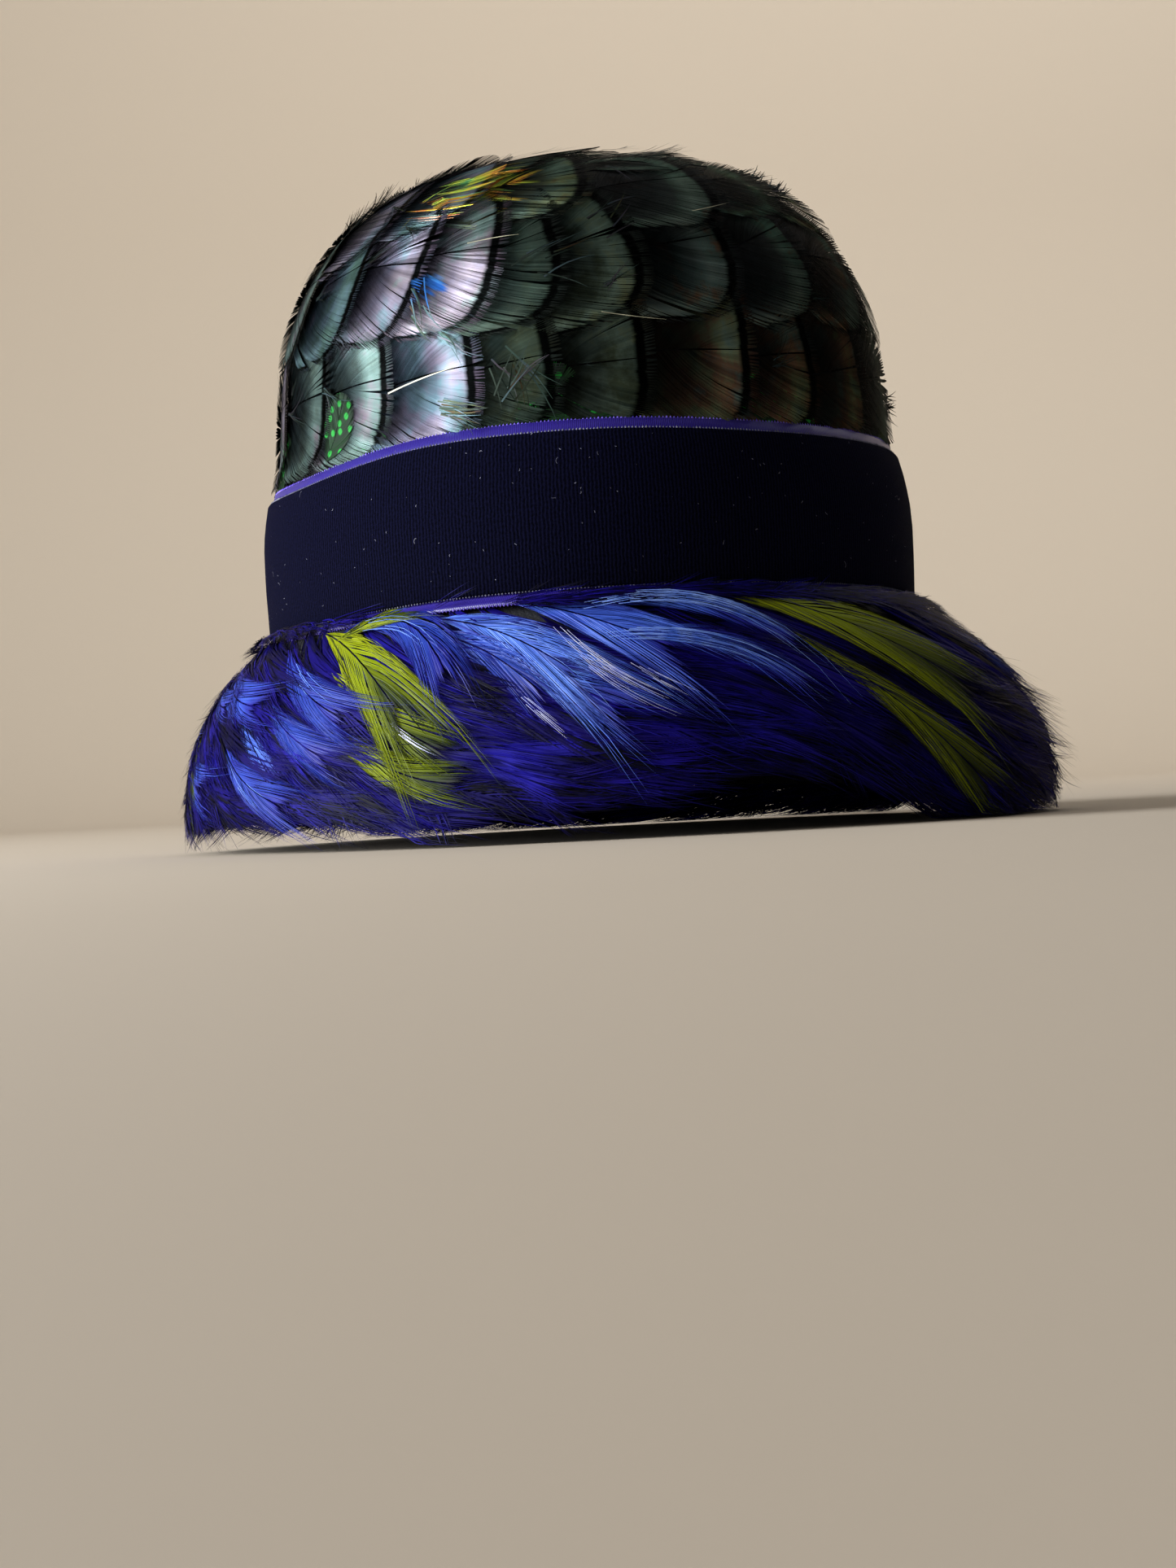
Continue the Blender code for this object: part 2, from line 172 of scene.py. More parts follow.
def ribbonFaces(ribbons, stations):
    # Quads of narrow ribbons, numbered ribbon by ribbon, station by station, left then right.
    first = (np.arange(ribbons)[:, None] * stations + np.arange(stations - 1)[None, :]) * 2
    return np.stack([first, first + 1, first + 3, first + 2], axis=-1).reshape(-1, 4)


def gridFaces(rows, columns):
    # Quads of a grid that closes both ways.
    low = np.arange(rows * columns).reshape(rows, columns)
    high = np.roll(low, -1, axis=0)
    quads = [low, np.roll(low, -1, axis=1), np.roll(high, -1, axis=1), high]
    return np.stack(quads, axis=-1).reshape(-1, 4)


def turnedOut(points, faces):
    # Reverses the faces of open strips whose normal points back into the hat. Outwards is
    # the way from its middle at the headline, and always a little upwards.
    corners = points[faces]
    normal = np.cross(corners[:, 2] - corners[:, 0], corners[:, 3] - corners[:, 1])
    away = corners.mean(axis=1) - np.array([0.0, 0.0, 0.06])
    away[:, 2] = np.clip(away[:, 2], 0.02, None)
    inward = (normal * away).sum(axis=1) < 0
    faces = faces.copy()
    faces[inward] = faces[inward][:, ::-1]
    return faces


def addPiece(name, points, faces, finish, nodes=(), colours=None, maps=None,
             orient=True, wrap=None, floored=False):
    # Puts finished arrays into a mesh: points, faces, colour attributes and UV maps. Closed
    # shells come with their faces the right way round, and aren't turned.
    points = leanBack(points.reshape(-1, 3))
    if floored:
        points = aboveFloor(points)
    if orient:
        faces = turnedOut(points, faces)
    mesh = bpy.data.meshes.new(name)
    mesh.vertices.add(len(points))
    mesh.vertices.foreach_set("co", points.astype(np.float32).ravel())
    mesh.loops.add(faces.size)
    mesh.loops.foreach_set("vertex_index", faces.astype(np.int32).ravel())
    mesh.polygons.add(len(faces))
    mesh.polygons.foreach_set("loop_start", np.arange(len(faces), dtype=np.int32) * faces.shape[1])
    mesh.update(calc_edges=True)
    for key, values in (colours or {}).items():
        layer = mesh.attributes.new(key, "FLOAT_COLOR", "POINT")
        layer.data.foreach_set("color", values.reshape(-1, 4).astype(np.float32).ravel())
    for key, values in (maps or {}).items():
        layer = mesh.uv_layers.new(name=key)
        corners = values.reshape(-1, 2)[faces]
        if wrap:
            # The face that closes the round runs on past the map's end.
            far = corners[..., 0].max(axis=1, keepdims=True) - corners[..., 0] > wrap / 2
            corners[..., 0] += wrap * far
        layer.data.foreach_set("uv", corners.astype(np.float32).ravel())
    mesh.shade_smooth()
    mesh.materials.append(finish)
    piece = bpy.data.objects.new(name, mesh)
    bpy.context.scene.collection.objects.link(piece)
    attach(piece, "root")
    if nodes:
        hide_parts(*nodes)
    print(f"{name}: {len(faces) * (faces.shape[1] - 2)} triangles")
    return piece


def linear(hexColour, strength=1.0):
    # sRGB hex to linear: low values over 12.92, the others ((c + 0.055) / 1.055) ^ 2.4.
    parts = np.array([int(hexColour[k:k + 2], 16) / 255 for k in (1, 3, 5)])
    parts = np.where(parts <= 0.04045, parts / 12.92, ((parts + 0.055) / 1.055) ** 2.4)
    return (*(parts * strength), 1.0)


def addNode(tree, kind, inputs, out=0, stops=(), **settings):
    # One node with its settings. Its inputs are a list, or a dictionary by number or name,
    # each linked or given a value, and a ramp's stops are places and hex colours. It gives
    # back one of its outputs, by number or name.
    node = tree.nodes.new("ShaderNode" + kind)
    for key, value in settings.items():
        setattr(node, key, value)
    for key, value in inputs.items() if isinstance(inputs, dict) else enumerate(inputs):
        if isinstance(value, bpy.types.NodeSocket):
            tree.links.new(value, node.inputs[key])
        else:
            node.inputs[key].default_value = value
    if stops:
        marks = node.color_ramp.elements
        while len(marks) < len(stops):
            marks.new(0.5)
        for mark, (place, colour) in zip(marks, stops):
            mark.position, mark.color = place, linear(colour)
    return node.outputs[out]


def newMaterial(name, **constants):
    # A material whose shader's unlinked sockets get these constants.
    made = bpy.data.materials.new(name)
    made.use_nodes = True
    shader = made.node_tree.nodes["Principled BSDF"]
    for key, value in constants.items():
        shader.inputs[key.replace("_", " ")].default_value = value
    return made, made.node_tree


def linkShader(made, colour, normal=None):
    # The pattern's colour, and its bump if it has one, go to the material's shader.
    shader = made.node_tree.nodes["Principled BSDF"]
    made.node_tree.links.new(colour, shader.inputs["Base Color"])
    if normal:
        made.node_tree.links.new(normal, shader.inputs["Normal"])
    return made


def barbData(tree):
    # What each vane carries: barb (0 middle of the tip, 1 the root), distance from the barb's
    # own end in vaneUnits, a number for its feather and a number for its barb.
    alpha = addNode(tree, "Attribute", {}, "Alpha", attribute_name="barbs")
    parts = addNode(tree, "SeparateColor", [alpha.node.outputs["Color"]]).node.outputs
    return parts[0], parts[1], parts[2], alpha


# Object coordinates are in metres, so a scale of 1 / 0.012 makes a pattern 12 mm across.
vaneUnit = 0.05      # metres for each 1 of a vane's own map, and of the distance from its ends
bandStep = 0.314     # how far apart a wave texture's bands lie at scale 1
# Where single feathers show another colour. The first is a painted highlight: the yellow to
# green iridescence that the window's light brings out on the -X front of the crown, painted into
# the colour. The second is a small dark blue tip.
plumageSpots = [
    dict(middle=(-0.0275, -0.0580, 0.1600), radius=0.016, stops=[
        (0.15, "#f08a4c"), (0.40, "#f8cc50"), (0.60, "#d8ee5a"), (0.85, "#6cbc7c")]),
    dict(middle=(-0.0405, -0.0775, 0.1340), radius=0.0060, stops=[
        (0.3, "#16386a"), (0.7, "#285484")]),
]


# Dark body feathers of a turkey kind: keratin barbules over black melanin. The eye gets a dark
# vane with a pearly green, silver, rose or copper gloss, a black bar and a dull grey rim. Round
# the crown the gloss carries painted light: pearly where the window's highlight falls, darker
# beside it, lighter again on the shaded side.
def makeIridescentPlumage():
    made, tree = newMaterial(
        "iridescent_body_feather", Metallic=0.85, Roughness=0.39, Specular_Tint=linear("#56645e"))
    barb, fromEnd, feather, own = barbData(tree)
    place = addNode(tree, "TexCoord", {}, "Object")
    patch = addNode(tree, "TexNoise", {
        "Vector": place, "Scale": 1 / 0.012, "Detail": 7.0, "Roughness": 0.62}, "Fac")
    drift = addNode(tree, "Math", [patch, 0.56, -0.28], operation="MULTIPLY_ADD")
    hue = addNode(tree, "Math", [drift, feather], operation="ADD")
    # Pearly tones (painted highlight), then dark ones (painted shade), then olive, copper and
    # green ones, made lighter as painted light for the shaded side.
    gloss = addNode(tree, "ValToRGB", [hue], stops=[
        (0.02, "#607e74"), (0.10, "#76929a"), (0.18, "#8c8696"), (0.26, "#867c84"),
        (0.34, "#728a84"), (0.44, "#5c6c62"), (0.52, "#47544a"), (0.60, "#3a4a42"),
        (0.67, "#3e4838"), (0.74, "#5c6e62"), (0.81, "#687052"), (0.87, "#6e5440"),
        (0.93, "#5c6e64"), (1.00, "#667268")])
    # From a barb's end: the rim to 2 mm, the bar to 3.4 mm, the gloss, and the dark inner vane.
    bars = addNode(tree, "ValToRGB", [fromEnd], stops=[
        (0.000, "#5e565c"), (0.034, "#7c747a"), (0.042, "#060607"), (0.068, "#08090a"),
        (0.086, "#e4e4e4"), (0.150, "#ffffff"), (0.240, "#a0a0a6"), (0.350, "#58585e"),
        (0.500, "#34343a")])
    colour = addNode(tree, "Mix", {0: 1.0, 6: gloss, 7: bars}, 2,
                     data_type="RGBA", blend_type="MULTIPLY")
    for spot in plumageSpots:
        # A flash of other colours about a middle. Each barb has its own reach, up to the radius.
        radius = spot["radius"]
        away = addNode(tree, "VectorMath", [place, spot["middle"]], "Value", operation="DISTANCE")
        ragged = addNode(tree, "Math", [own, -1.5 * radius, away], operation="MULTIPLY_ADD")
        inside = addNode(tree, "MapRange", {
            "Value": ragged, "From Min": -0.4 * radius, "From Max": -0.1 * radius,
            "To Min": 1.0, "To Max": 0.0})
        cloud = addNode(tree, "Math", [patch, 2.4, -0.95], operation="MULTIPLY_ADD")
        third = addNode(tree, "Math", [barb, 3.0], operation="MULTIPLY")
        third = addNode(tree, "Math", [third], operation="FRACT")
        streak = addNode(tree, "Math", [third, 0.45, cloud], operation="MULTIPLY_ADD")
        flash = addNode(tree, "ValToRGB", [streak], stops=spot["stops"])
        colour = addNode(tree, "Mix", {0: inside, 6: colour, 7: flash}, 2, data_type="RGBA")
    # Barbs lie 0.35 mm apart: three fine lines for each modelled one.
    turns = addNode(tree, "Math", [barb, crown["barbs"] * 3 * 2 * np.pi], operation="MULTIPLY")
    line = addNode(tree, "Math", [turns], operation="SINE")
    shade = addNode(tree, "Math", [line, 0.10, 0.58], operation="MULTIPLY_ADD")
    shade = addNode(tree, "Math", [own, 0.70, shade], operation="MULTIPLY_ADD")
    grey = addNode(tree, "CombineColor", [shade, shade, shade])
    colour = addNode(tree, "Mix", {0: 1.0, 6: colour, 7: grey}, 2,
                     data_type="RGBA", blend_type="MULTIPLY")
    bump = addNode(tree, "Bump", {"Strength": 0.5, "Distance": 0.00002, "Height": line})
    return linkShader(made, colour, bump)


# Small spotted feathers, such as a guinea fowl's dyed green: matt dark green vane with round
# bright green spots about 2 mm across and 3.6 mm apart.
def makeSpottedPlumage():
    made, tree = newMaterial("dyed_spotted_feather", Roughness=0.60, Specular_IOR_Level=0.15)
    own = barbData(tree)[3]
    flat = addNode(tree, "UVMap", {}, uv_map="vane")
    spot = addNode(tree, "TexVoronoi", {
        "Vector": flat, "Scale": vaneUnit / 0.0036, "Randomness": 0.65}, "Distance",
        voronoi_dimensions="2D")
    ground = addNode(tree, "ValToRGB", [own], stops=[(0.0, "#081c0c"), (1.0, "#123416")])
    green = addNode(tree, "ValToRGB", [spot], stops=[(0.20, "#239036"), (0.30, "#0e2c12")])
    inSpot = addNode(tree, "ValToRGB", [spot], stops=[(0.20, "#ffffff"), (0.30, "#000000")])
    colour = addNode(tree, "Mix", {0: inSpot, 6: ground, 7: green}, 2, data_type="RGBA")
    return linkShader(made, colour)


# Dyed saddle hackle: long soft barbs that part at their ends, silky along their length. The
# eye gets a deep ultramarine mass broken into fine lines, with violet depths. Barbs are dark
# over fade at their ends and contrast parts the strands, both painted shade; cover makes them
# all lighter.
def makeHackle(name, tones, shadeColour, roughness, gloss, fade=0.05, contrast=2.2, cover=0.55):
    made, tree = newMaterial(name, Roughness=roughness, Specular_IOR_Level=gloss)
    _, fromEnd, feather, own = barbData(tree)
    place = addNode(tree, "TexCoord", {}, "Object")
    clump = addNode(tree, "TexNoise", {"Vector": place, "Scale": 1 / 0.014, "Detail": 3.0}, "Fac")
    tone = addNode(tree, "Math", [feather, 0.7, -0.28], operation="MULTIPLY_ADD")
    tone = addNode(tree, "Math", [clump, 0.8, tone], operation="MULTIPLY_ADD")
    base = addNode(tree, "ValToRGB", [tone], stops=[
        (k / (len(tones) - 1), colour) for k, colour in enumerate(tones)])
    # Partly the strands' own tone, partly painted shade: strands between light and dark, darker
    # still where the clumps part.
    level = cover - contrast / 2 - 0.7
    depth = addNode(tree, "Math", [clump, 1.4, level], operation="MULTIPLY_ADD")
    depth = addNode(tree, "Math", [own, contrast, depth], operation="MULTIPLY_ADD")
    depth = addNode(tree, "Clamp", [depth])
    # Painted shade: barbs darken to their free ends, where they lie apart over the dark ones
    # below.
    inner = addNode(tree, "MapRange", {"Value": fromEnd, "From Min": 0.0, "From Max": fade})
    depth = addNode(tree, "Math", [depth, inner], operation="MULTIPLY")
    colour = addNode(tree, "Mix", {0: depth, 6: linear(shadeColour), 7: base}, 2, data_type="RGBA")
    return linkShader(made, colour)


# The same hackle dyed chartreuse: the web is clear yellow green and goes to a blackish green
# towards the ends of its barbs and, more faintly, towards the feather's root.
def makeGreenHackle():
    made, tree = newMaterial("chartreuse_dyed_hackle", Roughness=0.50, Specular_IOR_Level=0.15)
    barb, fromEnd, feather, own = barbData(tree)
    web = addNode(tree, "ValToRGB", [fromEnd], stops=[
        (0.00, "#0a1008"), (0.05, "#242e06"), (0.12, "#6c7604"), (0.30, "#8e9604")])
    root = addNode(tree, "ValToRGB", [barb], stops=[
        (0.0, "#ffffff"), (0.55, "#f4ffd0"), (0.95, "#5a6a4a")])
    shade = addNode(tree, "Math", [feather, 0.40, 0.38], operation="MULTIPLY_ADD")
    shade = addNode(tree, "Math", [own, 0.30, shade], operation="MULTIPLY_ADD")
    colour = web
    for layer in (root, addNode(tree, "CombineColor", [shade, shade, shade])):
        colour = addNode(tree, "Mix", {0: 1.0, 6: colour, 7: layer}, 2,
                         data_type="RGBA", blend_type="MULTIPLY")
    return linkShader(made, colour)


# Cotton-backed rayon velvet ribbon, 38 mm wide: almost no reflection face on, a faint blue
# bloom at grazing angles, and ribs 0.9 mm apart where the pile stands in uneven rows.
def makeVelvet():
    made, tree = newMaterial(
        "navy_pile_velvet", Roughness=0.95, Sheen_Weight=0.025, Sheen_Roughness=0.5,
        Sheen_Tint=linear("#4a50c0"), Specular_IOR_Level=0.03)
    flat = addNode(tree, "UVMap", {}, uv_map="cloth")      # in mm, as the satin's
    ribs = addNode(tree, "TexWave", {
        "Vector": flat, "Scale": bandStep / 0.9, "Distortion": 2.6, "Detail": 2.0,
        "Detail Scale": 1.1}, "Fac", wave_type="BANDS", bands_direction="X")
    pile = addNode(tree, "TexNoise", {
        "Vector": flat, "Scale": 1.4, "Detail": 4.0, "Roughness": 0.7}, "Fac")
    height = addNode(tree, "Math", [ribs, 0.35, pile], operation="MULTIPLY_ADD")
    colour = addNode(tree, "ValToRGB", [height], stops=[(0.45, "#010105"), (0.90, "#0b0c22")])
    bump = addNode(tree, "Bump", {"Strength": 0.8, "Distance": 0.00025, "Height": height})
    return linkShader(made, colour, bump)


# Violet satin ribbon, woven with a fine cross rib 0.5 mm apart, drawn a little coarser than
# real so that it shows: long floats give a broad silky highlight.
def makeSatin():
    made, tree = newMaterial(
        "violet_woven_satin", Roughness=0.36, Sheen_Weight=0.20, Sheen_Roughness=0.3,
        Sheen_Tint=linear("#b9a8ff"), Specular_IOR_Level=0.7)
    flat = addNode(tree, "UVMap", {}, uv_map="cloth")
    threads = addNode(tree, "TexWave", {
        "Vector": flat, "Scale": bandStep / 0.5, "Distortion": 0.4}, "Fac",
        wave_type="BANDS", bands_direction="X")
    colour = addNode(tree, "ValToRGB", [threads], stops=[(0.0, "#20136a"), (1.0, "#30228a")])
    bump = addNode(tree, "Bump", {"Strength": 0.35, "Distance": 0.0001, "Height": threads})
    return linkShader(made, colour, bump)


# Plain spun thread, fibre or quill: one colour with a little variation along it.
def makeThread(name, low, high, roughness=0.7):
    made, tree = newMaterial(name, Roughness=roughness)
    place = addNode(tree, "TexCoord", {}, "Object")
    slub = addNode(tree, "TexNoise", {"Vector": place, "Scale": 1 / 0.004, "Detail": 1.0}, "Fac")
    return linkShader(made, addNode(tree, "ValToRGB", [slub], stops=[(0.3, low), (0.7, high)]))


# Black buckram: open-weave cotton stiffened with size, threads 1.1 mm apart, slightly glazed.
# The weave is turned out of the level, because the cloth was blocked over a round form.
def makeBuckram():
    made, tree = newMaterial("black_stiffened_buckram", Roughness=0.72)
    place = addNode(tree, "TexCoord", {}, "Object")
    turned = addNode(tree, "Mapping", {"Vector": place, "Rotation": (0.5, 0.6, 0.8)})
    threads = addNode(tree, "TexVoronoi", {
        "Vector": turned, "Scale": 1 / 0.0011, "Randomness": 0.1}, "Distance",
        distance="CHEBYCHEV")
    colour = addNode(tree, "ValToRGB", [threads], stops=[(0.2, "#14151c"), (0.6, "#08080c")])
    bump = addNode(tree, "Bump", {"Strength": 0.6, "Distance": 0.0003, "Height": threads},
                   invert=True)
    return linkShader(made, colour, bump)


# The crown's feathers, in bands of one size. For each band: turn, how far up the dome the
# feathers' middles lie, and shift, how far off that they may be; jitter of the tips round the
# crown; lay, how far a feather may lie askew; all in degrees. Then length, width, the curl of
# the tip, and where the tips end round the crown.
crown = dict(
    barbs=72, stations=6, seed=11,
    lengths=(0.94, 1.10), widths=(0.92, 1.10),       # shares of the band's length and width
    front=0.32, squareness=2.7, fan=104,             # the outline's front share, power, degrees
    ragged=0.007, gather=0.22, splits=3, bow=0.10,
    barbWidth=([0.0, 0.75, 0.94, 1.0], [1.05, 1.06, 0.95, 0.35]),
    rootStart=0.30, rootRun=0.66, bowTo=(0.30, 0.62),   # where barbs leave the quill, their bow
    base=0.0006, rise=0.0014, overhang=0.0011, dip=0.0003,
    tilt=0.00008, endRise=0.0003,                    # of single barbs
    underRibbon=0.0009, freeHeight=0.0035,           # lift under it, free so far above it
    # The pearly feathers' middle and spread are a painted highlight where the window's light
    # falls; the dark kind beside them is painted shade, and the olive kind is made lighter as
    # painted light on the shaded side.
    highlitAt=-54,                                    # the middle of the pearly feathers
    highlitNear=(0.68, 0.08), shadedSideNear=(0.55, 0.15),    # cosine of the angle off it, and blend
    hues=(0.06, 0.44, 0.20), hueSpreads=(0.38, 0.16, 0.14),   # pearly, dark and olive kinds
    rows=[
        dict(name="crownFeathersLower", nodes=["crown_feathers_lower"], bands=[
            dict(turn=4.6, shift=1.2, length=0.050, width=0.043, jitter=1.0, lay=9, curl=0.0010,
                 tips=np.r_[[-68, -50, -34.5, -16, -2, 12.5, 31, 47], np.linspace(64, 276, 14)])]),
        dict(name="crownFeathersMiddle", nodes=["crown_feathers_middle"], bands=[
            dict(turn=29, shift=3.2, length=0.050, width=0.045, jitter=1.5, lay=16, curl=0.0014,
                 tips=np.r_[[-76, -58, -42, -27.5, -13, -2.5, 13, 32, 50],
                            np.linspace(68, 268, 12)])]),
        dict(name="crownFeathersUpper", nodes=["crown_feathers_upper"], bands=[
            dict(turn=50, shift=3.6, length=0.048, width=0.042, jitter=3.0, lay=20, curl=0.0030,
                 tips=np.r_[[-66, -40, -16, 6, 30, 54], np.linspace(78, 272, 9)])]),
        dict(name="crownFeathersTop", nodes=["crown_feathers_top"], bands=[
            dict(turn=64, shift=1.2, length=0.042, width=0.036, jitter=5.0, lay=16, curl=0.0026,
                 tips=np.linspace(0, 324, 10)),
            dict(turn=77, shift=1.2, length=0.038, width=0.036, jitter=6.0, lay=12, curl=0.0010,
                 tips=np.linspace(20, 320, 7)),
            dict(turn=86.5, shift=1.2, length=0.036, width=0.034, jitter=4.0, lay=8, curl=0.0006,
                 tips=np.linspace(40, 328, 5))]),
    ])


def vaneAxes(barbs, stations):
    # The axes that vanes share, after that of the feather: side, barb, station along the
    # barb, ribbon edge.
    side = np.array([-1.0, 1.0])[None, :, None, None, None]
    barb = np.arange(barbs)[None, None, :, None, None]
    step = np.linspace(0.0, 1.0, stations)[None, None, None, :, None]
    edge = np.array([-1.0, 1.0])[None, None, None, None, :]
    return side, barb, step, edge


def driftingNumbers(shape, barbs, knots, fine, rng):
    # One number from 0 to 1 for each barb: straight lines between random knots, plus a little
    # noise of its own, so that neighbouring barbs form light and dark strands.
    at = np.linspace(0, knots - 1.001, barbs)
    low = at.astype(int)
    table = rng.random((*shape, knots))
    smooth = table[..., low] * (1 - at + low) + table[..., low + 1] * (at - low)
    mixed = (1 - fine) * smooth + fine * rng.random((*shape, barbs))
    return mixed[..., None, None]


def barbPlaces(barb, step, edge, barbs, width, rng, feathers, gather, splits):
    # Each barb's place from 0 to 1 along its side. Ribbon edges lie halfway to the next barb,
    # ends draw together in small groups, and a few splits push them apart.
    shape = (feathers, 2, 1, 1, 1)
    group = rng.integers(4, 9, shape)
    middle = ((barb + rng.integers(0, 9, shape)) // group + 0.5) * group
    middle = middle - rng.integers(0, 9, shape)
    place = (barb + 0.5 + 0.5 * edge * width) / barbs
    pull = gather * rng.random(shape) * step ** 3 * (np.abs(middle - barb) < group)
    place = place + pull * (np.clip(middle, 0, barbs) / barbs - place)
    for _ in range(splits):
        at = rng.uniform(0.02, 0.9, shape)
        far = (barb + 0.5) / barbs - at
        push = rng.uniform(0.004, 0.022, shape) * np.exp(-np.abs(far) / 0.05)
        place = place + push * np.sign(far) * step ** 1.6
    return place


def underRibbon(flat, lift, soft):
    # Lays flat points on the dome with their lift, which is small where they lie under the
    # satin ribbon and comes free over a soft height above its upper edge.
    bare = crownSkin(flat, np.zeros(flat.shape[:-1]))
    angle = np.arctan2(bare[..., 0], -bare[..., 1] / hatForm["oval"])
    satinTop = ribbonEdges(angle)[1] + ribbon["satinTop"] - ribbon["velvetTop"]
    clear = np.clip((bare[..., 2] - satinTop) / soft, 0, 1)
    return crownSkin(flat, np.minimum(lift, crown["underRibbon"] + clear * 0.01))


def perPoint(points, *values):
    # Numbers side by side for each point: what it carries (see barbData), or its place in the
    # vane's own map.
    return np.stack([np.broadcast_to(value, points.shape[:-1]) for value in values], axis=-1)


def crownVanes(band, rng):
    # A flat feather whose tip lies at 0 and root at -length. Its outline is a superellipse,
    # and each barb is a quadratic curve from the quill to it. The flat feather is then drawn
    # on to the dome, and stands off it more towards the tip and over the row below.
    c = crown
    count = len(band["tips"])
    side, barb, step, edge = vaneAxes(c["barbs"], c["stations"])
    one = (count, 1, 1, 1, 1)
    length = band["length"] * rng.uniform(*c["lengths"], one)
    half = band["width"] / 2 * rng.uniform(*c["widths"], one)
    width = np.interp(step, *c["barbWidth"])
    place = barbPlaces(barb, step, edge, c["barbs"], width, rng, count, c["gather"], c["splits"])
    ragged = c["ragged"] * rng.standard_normal((count, 2, c["barbs"], 1, 1))
    ragged = 1 + ragged * (0.5 + barb / c["barbs"])
    turn = np.radians(c["fan"]) * place
    power = 2 / c["squareness"]
    reach = np.where(np.cos(turn) > 0, c["front"], 1 - c["front"]) * length
    endX = -c["front"] * length + reach * np.sign(np.cos(turn)) * np.abs(np.cos(turn)) ** power
    endY = half * np.abs(np.sin(turn)) ** power * ragged
    endX = endX + (ragged - 1) * length * 0.5 * np.cos(turn)
    rootX = -length * (c["rootStart"] + c["rootRun"] * place)
    middleX, middleY = rootX + c["bowTo"][0] * (endX - rootX), c["bowTo"][1] * endY
    x = (1 - step) ** 2 * rootX + 2 * step * (1 - step) * middleX + step ** 2 * endX
    y = 2 * step * (1 - step) * middleY + step ** 2 * endY + 0.0002 * (1 - step)
    y = side * y
    fromEnd = (1 - step) * np.hypot(endX - rootX, endY)
    # The quill bows a little, and the whole feather is turned about its middle.
    y = y + rng.uniform(-c["bow"], c["bow"], one) * (x + length * 0.5) ** 2 / length
    lay = np.radians(rng.uniform(-1, 1, one) * band["lay"])
    middle = -0.35 * length
    x, y = (middle + (x - middle) * np.cos(lay) - y * np.sin(lay),
            (x - middle) * np.sin(lay) + y * np.cos(lay))
    own = driftingNumbers((count, 2), c["barbs"], 16, 0.35, rng)
    curl = rng.uniform(0.0, band["curl"], one)
    lift = c["base"] + c["rise"] * np.clip((x + length) / length, 0, 1.2) ** 1.5
    lift = lift + c["overhang"] * np.clip(-y / half, 0, 1) - c["dip"] * np.clip(y / half, 0, 1)
    lift = lift + curl * np.clip(x / length / 0.3 + 1, 0, 1.2) ** 2
    # Each barb is tilted a little, and its end stands up or lies down.
    lift = lift + edge * (rng.random(own.shape) - 0.5) * c["tilt"]
    lift = lift + c["endRise"] * step ** 4 * (own - 0.4)
    tips = np.radians(band["tips"] + rng.uniform(-1, 1, count) * band["jitter"])
    turns = np.radians(band["turn"] + rng.uniform(-1, 1, count) * band["shift"])
    point, level, uphill = (v[:, None, None, None, None, :] for v in crownPlace(tips, turns))
    flat = point + x[..., None] * level + y[..., None] * uphill
    points = underRibbon(flat, lift, c["freeHeight"])
    # Painted light by each tip's angle: pearly tones on the -X side, where the window's highlight
    # falls, darker ones beside them as painted shade, and olive, copper and green ones elsewhere,
    # made lighter on the shaded side: the shares of the first and last kind at each tip's angle.
    near = np.cos(tips - np.radians(c["highlitAt"])).reshape(one)
    (highlitEdge, highlitBlend), (shadedSideEdge, shadedSideBlend) = c["highlitNear"], c["shadedSideNear"]
    highlit = np.clip((near - highlitEdge) / highlitBlend, 0, 1)
    shadedSide = np.clip((shadedSideEdge - near) / shadedSideBlend, 0, 1)
    # The ramp starts with the pearly tones, and the other two kinds lie further along it.
    first, toDark, toShadedSide = c["hues"]
    highlitSpread, darkSpread, shadedSideSpread = c["hueSpreads"]
    hue = first + (1 - highlit) * (toDark + toShadedSide * shadedSide)
    hue = hue + rng.random(one) * (
        highlitSpread * highlit + darkSpread * (1 - highlit) + shadedSideSpread * shadedSide)
    tags = perPoint(points, place, fromEnd / vaneUnit, hue, own)
    return points, tags, perPoint(points, x, y) / vaneUnit


def makeCrown(finish):
    rng = np.random.default_rng(crown["seed"])
    for row in crown["rows"]:
        sets = [crownVanes(band, rng) for band in row["bands"]]
        points, tags, flats = (
            np.concatenate([s[k].reshape(-1, s[k].shape[-1]) for s in sets]) for k in range(3))
        faces = ribbonFaces(len(points) // (2 * crown["stations"]), crown["stations"])
        addPiece(row["name"], points, faces, finish, row["nodes"],
                 {"barbs": tags}, {"vane": flats})


# Hackles on the brim. A path is followed in the brim's own flat development: level distance
# and distance down the brim.
hackle = dict(
    stations=5, seed=23,
    pathSteps=18, pathEnd=1.7,                 # a path's points, and its end in quill lengths
    slope=0.062, base=0.0006, fluff=0.0018,    # how feathers stand off the brim
    tilt=0.00012, crowned=0.0006,              # of a barb, and of the web along its quill
    barbAngle=12, forward=0.0080,              # barb to quill, and how far all run ahead
    barbStart=0.02, barbRun=0.80,              # where barbs leave the quill, in its lengths
    uneven=(0.10, 0.12),                       # barbs, sideways and ahead
    rootLift=0.0008, freeShare=0.035, freeSlope=0.09)   # under the ribbon, and on from it


def pathOnBrim(rootAngle, rootShare, length, heading, bend):
    # The path's heading turns evenly from its root on. Level steps are cos(heading) and steps
    # down are sin(heading), added up and changed to an angle and a share of the brim.
    u = np.linspace(0.0, hackle["pathEnd"], hackle["pathSteps"])[None, :]
    turned = heading[:, None] + bend[:, None] * u / 2
    across, down = length[:, None] * u * np.cos(turned), length[:, None] * u * np.sin(turned)
    speed, depth = brimScales(rootAngle, rootShare)
    return rootAngle[:, None] + across / speed[:, None], rootShare[:, None] + down / depth[:, None]


